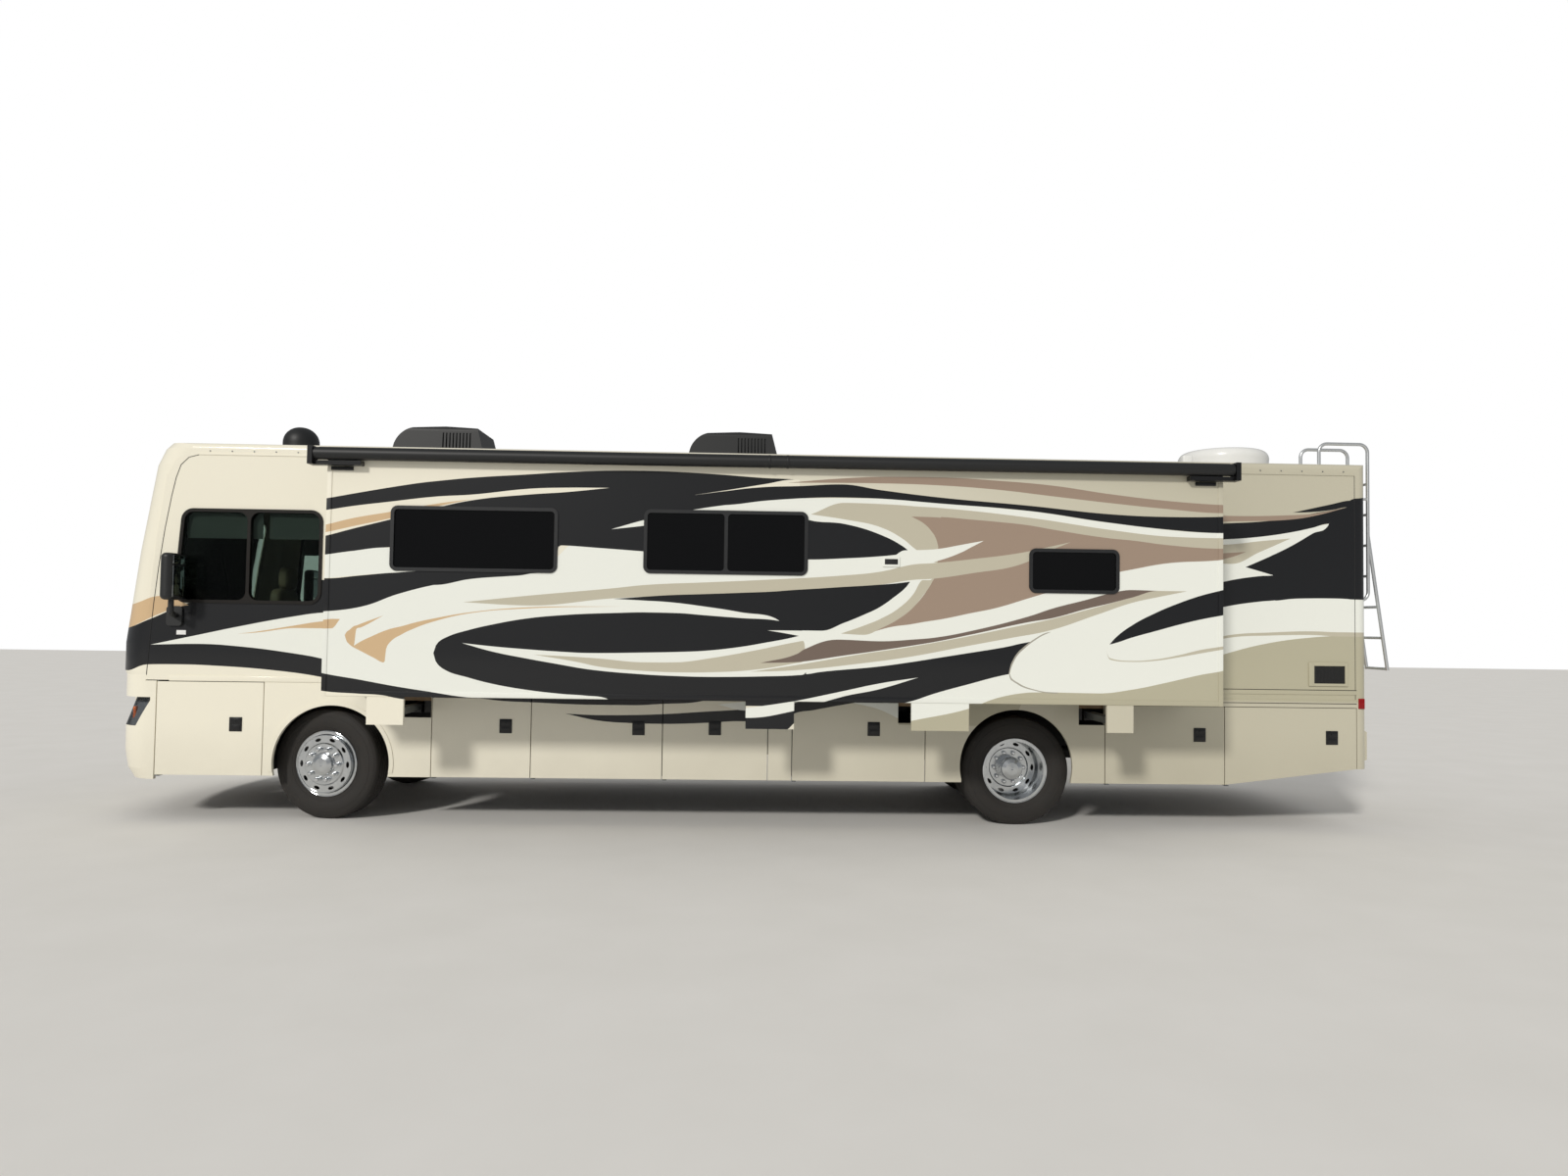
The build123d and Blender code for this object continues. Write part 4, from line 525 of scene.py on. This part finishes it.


# Mouldings and seams.
# A glassfibre belt rail, extruded aluminium corner trims and a screwed gutter rail cover the joints
# between walls, caps and skirts. They are painted with the body; black sealant runs in the joints,
# and beside the lower tail rails its black lines are partly painted shadow.
def block(low, high, bevel=0.0):
    """A box between two corners given in coach coordinates, with its edges rounded by bevel."""
    a, b = place(*low), place(*high)
    made = primitive(bpy.ops.mesh.primitive_cube_add, b - a, size=1, location=(a + b) / 2)
    if bevel:
        on_all(bpy.ops.mesh.bevel, offset=bevel, segments=3, affect="EDGES", clamp_overlap=True)
    return made


def strand(radius, points, sides=10):
    """Round bars end to end through the given points of the coach, with a ball at each inner point."""
    made = [bar(radius, a, b, sides=sides) for a, b in zip(points, points[1:])]
    return made + [primitive(bpy.ops.mesh.primitive_uv_sphere_add, radius=radius, segments=sides,
                             ring_count=6, location=place(*point)) for point in points[1:-1]]


def row_of(source, step, count):
    """The piece and its copies, each a step further on."""
    return [source] + [copied(source, Matrix.Translation(Vector(step) * i)) for i in range(1, count)]


to_kerb = Matrix.Translation((0, 2 * place(0, 0, 0).y, 0)) @ Matrix.Scale(-1, 4, (0, 1, 0))


def both(parts):
    """Driver's-side parts and their mirror images on the kerb side."""
    return parts + [copied(part, to_kerb) for part in parts]


def struck(name, start, heading):
    """Where a line from start along heading first meets a CAD piece, in coach coordinates, or None."""
    shell = node[name]
    inward = shell.matrix_world.inverted()
    hit, spot, _, _ = shell.ray_cast(inward @ place(*start), inward.to_3x3() @ Vector(heading))
    return shell.matrix_world @ spot + zero if hit else None


def skin(name, x, z, sign=-1):
    """The y of a CAD piece's outer surface at one place of the coach, on the driver's or kerb side."""
    spot = struck(name, (x, 3 * sign, z), (0, -sign, 0))
    return sign * 1.295 if spot is None else spot.y


# Butyl sealant and rubber seals: dull black, hardly grained.
seal_black = finish("black_sealant", "131313", "1C1C1C", 20, 0.6)
rail_out, rail_in, tail_x = -1.301, -1.291, 9.617
rails = [block((-1.40, -1.303, 1.258), (0.275, rail_in, 1.306), 0.004),
         block((-1.20, -1.302, 3.334), (9.60, rail_in, 3.352), 0.003),
         block((8.05, rail_out, 1.258), (tail_x, rail_in, 1.299), 0.003),
         block((8.05, rail_out, 1.178), (tail_x, rail_in, 1.210), 0.003)]
piece("body_rails", paint, both(rails))
screw = bar(0.006, (-1.1, -1.302, 3.372), (-1.1, -1.292, 3.372), 0.003, 12)
piece("gutter_screws", galvanised, both(row_of(screw, (0.2, 0, 0), 54)))
# The cap's joint at the nose as (x, z), then the joint at the tail and the two beside the lower rails;
# those two are partly sealant and partly painted shadow along the rails' edges.
nose_seam = [(-1.606, 1.31), (-1.59, 1.60), (-1.565, 1.95), (-1.53, 2.30), (-1.485, 2.65), (-1.435, 2.95),
             (-1.40, 3.12), (-1.36, 3.24), (-1.29, 3.31), (-1.2, 3.335)]
seams = strand(0.003, [(x, skin("front_cap", x, z) - 0.0005, z) for x, z in nose_seam])
seams += strand(0.003, [(9.606, skin("rear_cap", 9.62, z) + 0.001, z) for z in (1.215, 2.2, 3.335)])
seams += [bar(0.003, (8.05, -1.2955, z), (tail_x, -1.2955, z), sides=8) for z in (1.302, 1.175)]
piece("body_seams", seal_black, both(seams))
# The room's outer face, its two ends and its trims, with the rubber seal that stands on the wall.
face_y, room_front, room_back, room_low, room_high, trim_w = -2.057, 0.281, 7.995, 1.191, 3.225, 0.041
face_out, face_in = face_y - 0.006, face_y + 0.002
trims = [block((x, face_out, room_low), (x + trim_w, face_in, 3.13), 0.002)
         for x in (room_front, room_back - trim_w)]
trims.append(block((room_front + trim_w, face_out, 1.193), (room_back - trim_w, face_in, 1.236), 0.002))
piece("slide_room_trims", paint, trims, "slide_room")
edges = [block((x, -1.300, room_low), (x + 0.024, -1.293, room_high), 0.003)
         for x in (room_front - 0.032, room_back + 0.008)]
piece("slide_room_seal", seal_black, edges)

# Locks and catches.
# Die-cast paddle latches with a black powder coat and a key barrel hold every luggage door, and a
# small catch of the same finish pulls the engine door to.

# Black powder coat: even, satin, with a very fine texture.
latch_black = finish("black_powder_coat", "08080A", "101012", 6, 0.3, 0.1)


def latch(body, x, z, sign):
    """A paddle latch on one door: flange, dish, paddle and key barrel."""
    y, half_w, half_h, dish_w, key_z = -abs(skin(body, x, z, sign)), 0.0575, 0.065, 0.042, z + 0.032
    parts = [block((x - half_w, y - 0.007, z - half_h), (x + half_w, y + 0.002, z + half_h), 0.0065),
             block((x - dish_w, y - 0.011, z - 0.050), (x + dish_w, y - 0.006, z - 0.006), 0.002),
             block((x - dish_w, y - 0.009, z + 0.014), (x + dish_w, y - 0.006, z + 0.050), 0.001),
             bar(0.009, (x, y - 0.016, key_z), (x, y - 0.006, key_z), 0.002)]
    if sign > 0:
        for part in parts:
            part.data.transform(to_kerb)
            part.data.flip_normals()
    return piece(body + "_latch", latch_black, parts, body)


for body, x, z, sign in (
        ("left_front_bay_door", -0.790, 0.869, -1), ("left_bay_door_a", 1.658, 0.879, -1),
        ("left_bay_door_b", 2.875, 0.874, -1), ("left_bay_door_c", 3.579, 0.882, -1),
        ("left_bay_door_d", 5.053, 0.890, -1), ("left_bay_door_e", 8.118, 0.869, -1),
        ("left_engine_side_door", 9.378, 0.855, -1), ("right_front_bay_door", -0.790, 0.869, 1),
        ("right_bay_door_a", 2.875, 0.874, 1), ("right_bay_door_b", 4.080, 0.882, 1),
        ("right_bay_door_c", 8.118, 0.869, 1)):
    latch(body, x, z, sign)
catch = [block((9.729, -0.055, 1.02), (9.742, 0.055, 1.09), 0.005),
         block((9.740, -0.035, 1.03), (9.752, 0.035, 1.055), 0.004)]
piece("engine_door_catch", latch_black, catch, "engine_door")

# Vents and labels on the sides.
# A moulded flue frame in body colour holds a black wire screen; the room has one small slotted vent.
# The blank labels are printed film.
vent = [block((low, -1.309, 1.338), (high, -1.292, 1.563), 0.006)
        for low, high in ((9.156, 9.209), (9.503, 9.531))]
vent += [block((9.158, -1.3085, low), (9.529, -1.292, high), 0.005)
         for low, high in ((1.339, 1.365), (1.529, 1.562))]
piece("flue_frame", paint, vent)
screen = [block((9.205, -1.297, 1.362), (9.507, -1.293, 1.532))]
screen += row_of(bar(0.0018, (9.22, -1.298, 1.365), (9.22, -1.298, 1.529), sides=6), (0.0135, 0, 0), 21)
piece("flue_screen", seal_black, screen)
louvre = block((5.024, face_y - 0.010, 2.356), (5.174, face_in, 2.448), 0.005)
slot = block((5.042, face_y - 0.0115, 2.378), (5.156, face_out, 2.426), 0.002)
piece("slide_room_vent", paint, [louvre], "slide_room")
piece("slide_room_vent_slot", seal_black, [slot], "slide_room")
# Printed film: flat off-white, half matt.
label = finish("printed_film", "F0F0EE", "E4E4E2", 30, 0.5)
tag_y = skin("left_wall", -1.30, 1.70)
tag = block((-1.350, tag_y - 0.0015, 1.680), (-1.265, tag_y + 0.001, 1.720), 0.0005)
piece("blank_labels", label, [tag])


# Windows.
# Toughened tinted glass is bonded in roll-formed aluminium frames with a dark bronze anodised face;
# the slide-out's panes are privacy glass, an opaque near-black sheet with the shade behind it painted
# in, and the windscreen is laminated and clear.
def dress_part(name, material, keep):
    """Gives a material to the faces of a CAD piece whose middles satisfy keep, in coach coordinates."""
    shell = node[name]
    shell.data.materials.append(material)
    index = len(shell.data.materials) - 1
    for face in shell.data.polygons:
        if keep(shell.matrix_world @ face.center + zero):
            face.material_index = index


def glass(name, tint, clear, mirror=0.12):
    """See-through glass with its reflections; mirror is the share that it reflects head on."""
    made, tree, coords = blank(name)
    ripple = add(tree, "TexNoise", {"Vector": coords, "Scale": 1.6, "Detail": 1.0})
    relief = add(tree, "Bump", {"Strength": 0.05, "Distance": 0.01, "Height": ripple})
    shell = add(tree, "BsdfPrincipled", {"Base Color": tint, "Roughness": 0.02, "IOR": 1.5,
                                         "Normal": relief})
    through = add(tree, "BsdfTransparent", {"Color": clear})
    fresnel = add(tree, "Fresnel", {"IOR": 1.5, "Normal": relief})
    share = add(tree, "MapRange", {0: fresnel, 3: mirror, 4: 1.0})
    joined = add(tree, "MixShader", {0: share, 1: through, 2: shell})
    add(tree, "OutputMaterial", {"Surface": joined})
    return made


# Laminated glass of the cab: clear and faintly green, so the seats and shades show behind it.
cab_glass = glass("laminated_glass", "0B0E0D", "DDE6E1")
# Privacy glass: opaque and near black, showing only reflections; the shade of the rooms behind the
# tint is painted into it. All panes aft of the cab have it.
privacy_glass_and_shade = finish("privacy_glass_and_shade", "050506", "070708", 900, 0.04, Specular_IOR_Level=0.25)
dress(cab_glass, "window_glass")
dress_part("window_glass", privacy_glass_and_shade, lambda p: p.x > 2.0 or p.z < 1.0)
dress(privacy_glass_and_shade, "slide_window_glass")
# Black electrocoat on the slide-out's frames and the divider of its middle window: smooth and satin.
dress(finish("black_electrocoat", "1B1C1E", "232426", 20, 0.4), "slide_window_frames")
# Bronze anodised aluminium: dark brown with a soft metal sheen.
dress(finish("bronze_anodised_aluminium", "2A2724", "1D1B19", 50, 0.38, Metallic=0.6), "window_frames")
# The entry door's pane, the rubber frame that laps it, and the door's lock plate and handle.
pane_front, pane_back, pane_low, pane_high, lap, lip = 1.140, 1.600, 2.050, 2.760, 0.012, 0.018
pane = block((pane_front - 0.01, 1.266, pane_low - 0.01), (pane_back + 0.01, 1.272, pane_high + 0.01), 0.001)
piece("entry_door_glass", privacy_glass_and_shade, [pane], "entry_door")
ring = [block((low, 1.290, pane_low - lip), (high, 1.301, pane_high + lip), 0.003)
        for low, high in ((pane_front - lip, pane_front + lap), (pane_back - lap, pane_back + lip))]
ring += [block((pane_front, 1.290, low), (pane_back, 1.301, high), 0.003)
         for low, high in ((pane_low - lip, pane_low + lap), (pane_high - lap, pane_high + lip))]
ring += [block((1.640, 1.292, 1.560), (1.715, 1.303, 1.760), 0.006),
         block((1.655, 1.300, 1.640), (1.700, 1.322, 1.700), 0.006)]
piece("entry_door_frame", seal_black, ring, "entry_door")


# Lamps and reflectors.
# Moulded polycarbonate lenses over plated reflectors; every marker lamp is a sealed pod on a gasket.
# The headlamp pods hold two bowls and an amber turn lamp on each side.
def lens(name, tint, deep, painted_glow):
    """Coloured polycarbonate with fine moulded ribs as relief, and a faint painted glow of its own tint."""
    made, tree, coords = blank(name)
    rib_width = 0.006
    split = add(tree, "SeparateXYZ", {0: coords})
    rib = add(tree, "Math", {0: split.outputs[2], 1: rib_width}, operation="PINGPONG")
    share = add(tree, "MapRange", {0: rib, 2: rib_width})
    tone = add(tree, "Mix", {0: share, 6: tint, 7: deep}, data_type="RGBA")
    relief = add(tree, "Bump", {"Strength": 0.5, "Distance": 0.002, "Height": rib})
    shell = add(tree, "BsdfPrincipled", {"Base Color": tone.outputs[2], "Roughness": 0.2,
                                         "Specular IOR Level": 0.35, "Normal": relief,
                                         "Emission Color": tint, "Emission Strength": painted_glow})
    add(tree, "OutputMaterial", {"Surface": shell})
    return made


# Red and amber polycarbonate: glossy and deep, with a faint painted glow that stands in for daylight caught
# in the lens.
red_lens = lens("red_polycarbonate", "A30B12", "6E070B", 0.03)
amber_lens = lens("amber_polycarbonate", "D9660F", "A94A08", 0.03)
# Clear polycarbonate, so the plated bowls behind the front lenses show.
clear_lens = glass("clear_polycarbonate", "6A6E72", "FAFBFC", 0.03)
# Vacuum-plated reflector: bright silver, softer than chrome.
reflector = finish("plated_reflector", "F2F3F4", "E6E8EA", 40, 0.22, Metallic=0.7)
dress(red_lens, "lamps")
dress_part("lamps", clear_lens, lambda p: p.x < 0)


def front_x(names, y, z):
    """The x at which a line from ahead of the coach first meets one of the named CAD pieces."""
    spots = [struck(name, (-3, y, z), (1, 0, 0)) for name in names]
    return min([spot.x for spot in spots if spot is not None], default=0.0)


def bowl(y, z, radius):
    """A deep plated reflector just behind the front lens, open to the front, with its bulb."""
    x = front_x(["lamps"], y, z) + 0.036
    made = primitive(bpy.ops.mesh.primitive_uv_sphere_add, (0.75, 1, 1), radius=radius, segments=32,
                     ring_count=16, location=place(x, y, z))
    on_all(bpy.ops.mesh.bisect, plane_co=place(x, y, z), plane_no=(-1, 0, 0), clear_outer=True)
    modified(made, "SOLIDIFY", thickness=0.002)
    return [made, bar(0.009, (x + radius * 0.7, y, z), (x + 0.004, y, z), 0.004, 12)]


lamp_z, bowl_radius, marker_y = 0.955, 0.058, (-1.0, -0.18, 0.0, 0.18, 1.0)
bowls = bowl(-0.885, lamp_z, bowl_radius) + bowl(-1.020, lamp_z, bowl_radius)
piece("headlamp_bowls", reflector, both(bowls))
turn_x = front_x(["lamps"], -1.14, lamp_z) + 0.034
turn_lamp = block((turn_x, -1.175, 0.90), (turn_x + 0.03, -1.105, 1.01), 0.008)
piece("turn_lamps", amber_lens, both([turn_lamp]))
marker = [block((-1.345, y - 0.045, 3.425), (-1.245, y + 0.045, 3.478), 0.016) for y in marker_y]
piece("front_marker_lamps", amber_lens, marker)
marker = [block((9.722, y - 0.05, 3.20), (9.745, y + 0.05, 3.235), 0.009) for y in marker_y]
piece("rear_marker_lamps", red_lens, marker)
side_y = skin("rear_cap", 9.66, 1.18)
side_lamp = block((9.634, side_y - 0.008, 1.129), (9.694, side_y + 0.012, 1.226), 0.004)
piece("rear_side_lamps", red_lens, both([side_lamp]))

# Grille, mirrors and wipers.
# The grille and mirror housings are moulded black ABS; the mirror is silvered glass, and two arms of
# bent rod carry rubber wiper blades.

# Moulded ABS: black with the fine, even grain of its tool.
abs_black = finish("moulded_abs", "1A1B1C", "232425", 3, 0.45, 0.1)
dress(abs_black, "grille", "mirrors")
# Silvered glass: a clear mirror.
silvered = finish("silvered_glass", "D5DADC", "CBD0D2", 400, 0.03, Metallic=1.0)
glasses = [block((-1.2485, -1.575, low), (-1.2445, -1.395, high), 0.0015)
           for low, high in ((2.02, 2.30), (2.315, 2.39))]
piece("mirror_glass", silvered, both(glasses))
mirror_lamp = block((-1.425, -1.318, 1.80), (-1.395, -1.296, 1.88), 0.006)
piece("mirror_lamps", amber_lens, both([mirror_lamp]))


def on_screen(y, z, off):
    """A point off the windscreen, or off the cap round it, by a small distance ahead."""
    return front_x(["window_glass", "front_cap"], y, z) - off, y, z


# Each arm runs from its spindle to the middle of a blade, and the blade stands across its end.
wipers = []
for sign in (-1, 1):
    root, tip = (sign * 0.42, 1.69), (sign * 0.80, 2.16)
    arm = [(root[0] + (tip[0] - root[0]) * t, root[1] + (tip[1] - root[1]) * t) for t in (0, 0.33, 0.66, 1)]
    blade = [(tip[0] + sign * 0.18 * t, tip[1] - 0.36 * t) for t in (-1, -0.5, 0, 0.5, 1)]
    wipers += strand(0.006, [on_screen(y, z, 0.008) for y, z in arm])
    wipers += strand(0.007, [on_screen(y, z, 0.006) for y, z in blade])
    wipers.append(bar(0.024, on_screen(*root, 0.012), on_screen(*root, -0.004), 0.004))
piece("windscreen_wipers", abs_black, wipers)

# Roof and its fittings.
# A white one-ply membrane is rolled over the crowned roof and tucked under painted edge rails. On it
# stand two black air-conditioner shrouds, a satellite dome, an aerial dome and a vent.

# Roof membrane: matt white, softly rumpled and a little soiled.
dress(finish("white_roof_membrane", "E4E3DD", "D2D0C8", 220, 0.7, 0.6), "roof_panel")
dress_part("roof_panel", paint, lambda p: abs(p.y) > 1.24)
# Vacuum-formed ASA of the shrouds: black with a light pebble.
shroud_black = finish("black_asa_shroud", "121314", "1C1D1E", 5, 0.5, 0.25)
dress(shroud_black, "roof_air_conditioners", "roof_domes")
# Gelcoat: clean white under a thin gloss.
dome_white = finish("white_gelcoat", "EDEDEA", "E3E3DF", 300, 0.25, Coat_Weight=0.4)
dress_part("roof_domes", dome_white, lambda p: p.x > 4.0)
piece("roof_sensor_box", dome_white, [block((8.23, -0.65, 3.47), (8.33, -0.55, 3.616), 0.014)])
# Brushed aluminium tube of the ladder: pale, with a broad soft highlight.
dress(finish("brushed_aluminium", "D9DBDC", "C4C7C9", 60, 0.35, Metallic=0.75), "ladder")
# White powder coat of the patio awning: half gloss.
dress(finish("white_powder_coat", "E6E5E0", "DAD9D3", 60, 0.45, Coat_Weight=0.2), "patio_awning")

# Slide-out room and topper awning.
# The long room is a welded aluminium box faced in glassfibre. Its topper is acrylic awning cloth on a
# sprung roller that turns in two black arms screwed to the room's ends.
dress(dome_white, "slide_box")
# The room's underside is coated black, and so are the roller's arms above its face.
dress_part("slide_box", seal_black, lambda p: p.z < 1.232)
dress_part("slide_wall", latch_black, lambda p: p.z > 3.14 and p.y < -2.060)
dress(shroud_black, "topper_roller")
plates = [block((low, face_y - 0.012, 3.107), (high, face_in, 3.139), 0.003)
          for low, high in ((0.314, 0.50), (7.75, 7.93))]
piece("topper_bracket_plates", latch_black, plates, "slide_room")
roller_y, roller_z = -2.119, 3.240
joint = [bar(0.058, (x, roller_y, roller_z), (x + 0.022, roller_y, roller_z), 0.003) for x in (4.028, 4.183)]
piece("topper_roller_joint", shroud_black, joint, "topper_roller")
# Acrylic canvas: faded black with a fine plain weave of 0.8 mm threads.
canvas, tree, coords = blank("black_acrylic_canvas")
split = add(tree, "SeparateXYZ", {0: coords})
thread = 0.0008
warp = add(tree, "Math", {0: split, 1: thread}, operation="PINGPONG")
weft = add(tree, "Math", {0: split.outputs[1], 1: thread}, operation="PINGPONG")
weave = add(tree, "Math", {0: warp, 1: weft}, operation="MAXIMUM")
fade = add(tree, "TexNoise", {"Vector": coords, "Scale": 2.0, "Detail": 4.0})
tone = add(tree, "Mix", {0: fade, 6: "222326", 7: "303134"}, data_type="RGBA")
relief = add(tree, "Bump", {"Strength": 0.4, "Distance": 0.0004, "Height": weave})
shell = add(tree, "BsdfPrincipled", {"Base Color": tone.outputs[2], "Roughness": 0.85, "Sheen Weight": 0.3,
                                     "Normal": relief})
add(tree, "OutputMaterial", {"Surface": shell})
# The cloth hangs from an awning rail along the roof's edge and runs down to the top of the roller.
cloth_front, cloth_back, rail_y, rail_z, roll_z = 0.230, 8.030, -1.297, 3.3700, 3.2965
cloth = primitive(bpy.ops.mesh.primitive_grid_add, x_subdivisions=120, y_subdivisions=16, size=1)
cloth.name = "topper_cloth"
for vertex in cloth.data.vertices:
    along, across = vertex.co.x + 0.5, vertex.co.y + 0.5
    # It sags a little between rail and roller, and more toward its middle.
    sag = 0.010 * 4 * across * (1 - across) * (0.6 + 0.4 * math.sin(along * math.pi))
    vertex.co = place(cloth_front + (cloth_back - cloth_front) * along,
                      roller_y + (rail_y - roller_y) * across, roll_z + (rail_z - roll_z) * across - sag)
cloth.data.materials.append(canvas)
modified(cloth, "SOLIDIFY", thickness=0.001)
bpy.ops.object.shade_smooth()
cloth.data.name = "topper_cloth"
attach(cloth, "slide_room")
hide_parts("topper_fabric")
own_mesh(cloth)

# Cab and lounge.
# Vinyl-skinned dashboard, plywood furniture with a lacquered cherry veneer, and seats of foam under
# stitched beige leather. They are seen only through glass and the open door.

# Grained vinyl: dark brown, with a small leather-like grain.
dress(finish("grained_vinyl", "3A3632", "2C2926", 4, 0.55, 0.4), "dashboard")
# Cherry veneer: red-brown, with grain that runs up the doors under a thin lacquer.
veneer, tree, coords = blank("cherry_veneer")
stretched = add(tree, "Mapping", {"Vector": coords, "Scale": (14.0, 14.0, 1.2)})
grain = add(tree, "TexNoise", {"Vector": stretched, "Scale": 3.0, "Detail": 6.0, "Distortion": 0.6})
tone = add(tree, "Mix", {0: grain, 6: "6B3A20", 7: "8E5431"}, data_type="RGBA")
shell = add(tree, "BsdfPrincipled", {"Base Color": tone.outputs[2], "Roughness": 0.35, "Coat Weight": 0.3})
add(tree, "OutputMaterial", {"Surface": shell})
dress(veneer, "fixed_furniture")
# Beige leather: soft sheen over a close grain.
leather = finish("beige_leather", "B9A68A", "A08D72", 3, 0.5, 0.5, Sheen_Weight=0.1)
# Painted steel of the pedestals: plain satin black.
steel_black = finish("painted_seat_steel", "1E1E1F", "262627", 30, 0.5)


def cushion(low, high, soft, puff):
    """A foam pad between two corners, rounded by soft and swollen by puff on its broad faces."""
    made = block(low, high)
    on_all(bpy.ops.mesh.subdivide, number_cuts=9)
    middle = (place(*low) + place(*high)) / 2
    half = (place(*high) - place(*low)) / 2
    thin = min(range(3), key=lambda i: half[i])
    wide = [i for i in range(3) if i != thin]
    for vertex in made.data.vertices:
        share = [(vertex.co[i] - middle[i]) / half[i] for i in range(3)]
        dome = (1 - share[wide[0]] ** 4) * (1 - share[wide[1]] ** 4)
        vertex.co[thin] = middle[thin] + share[thin] * (half[thin] - puff + puff * dome)
        # Rounded corners: each wide direction draws in where the other is near its end.
        for i, j in (wide, reversed(wide)):
            drawn_in = soft * share[j] ** 6 + soft * 0.6 * share[thin] ** 4
            vertex.co[i] = middle[i] + share[i] * (half[i] - drawn_in)
    return made


def seat(name, low_y, high_y):
    """One cab seat: base, back, head rest and two arm rests, joined as one padded piece."""
    pads = [cushion((-1.190, low_y + 0.05, 1.475), (-0.700, high_y - 0.05, 1.620), 0.02, 0.02),
            cushion((-0.745, low_y + 0.04, 1.600), (-0.610, high_y - 0.04, 2.130), 0.025, 0.02),
            cushion((-0.700, low_y + 0.13, 2.125), (-0.590, high_y - 0.13, 2.340), 0.02, 0.015)]
    pads += [cushion((-1.080, y, 1.735), (-0.660, y + 0.055, 1.800), 0.006, 0.006)
             for y in (low_y, high_y - 0.055)]
    piece(name, leather, pads, smooth=60)


seat("driver_seat", -0.900, -0.380)
seat("passenger_seat", 0.380, 0.900)
stand = block((-1.100, -0.760, 1.180), (-0.820, -0.520, 1.478), 0.01)
stands = piece("seat_pedestals", steel_black, both([stand]))
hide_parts("cab_seats")
# The sofa in the front of the room: three base cushions, then three back cushions.
places, sofa_w, column_w = range(3), 0.70, 0.46
sofa = [cushion((0.90 + sofa_w * i, front, low), (1.595 + sofa_w * i, back, high), 0.02, 0.02)
        for front, back, low, high in ((-1.83, -1.212, 1.440, 1.661), (-2.010, -1.815, 1.600, 2.081))
        for i in places]
piece("sofa_cushions", leather, sofa, "slide_room", 60)
# The sofa's plinth, and a tall cabinet behind it with three columns of two doors.
cabinets = [block((0.90, -2.010, 1.231), (3.0, -1.26, 1.445), 0.01),
            block((4.5, -2.012, 1.231), (5.9, -1.392, 3.160), 0.004)]
cabinets += [block((4.515 + column_w * i, -1.394, low), (4.965 + column_w * i, -1.376, high), 0.004)
             for i in places for low, high in ((1.26, 2.14), (2.16, 3.14))]
wood = piece("lounge_cabinets", veneer, cabinets, "slide_room")
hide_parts("slide_furniture")
# Pleated shade cloth: flat grey, half drawn down inside the cab's side windows.
shade = finish("pleated_shade_cloth", "8C8F8E", "7C7F7E", 10, 0.85)
shade_low, shade_high = 2.57, 2.83
shades = [block((front, -1.245, shade_low), (back, -1.240, shade_high))
          for front, back in ((-1.30, -0.62), (-0.56, -0.02))]
for letter, part in zip("abcd", both(shades)):
    made = piece("cab_roller_shade_" + letter, shade, [part])
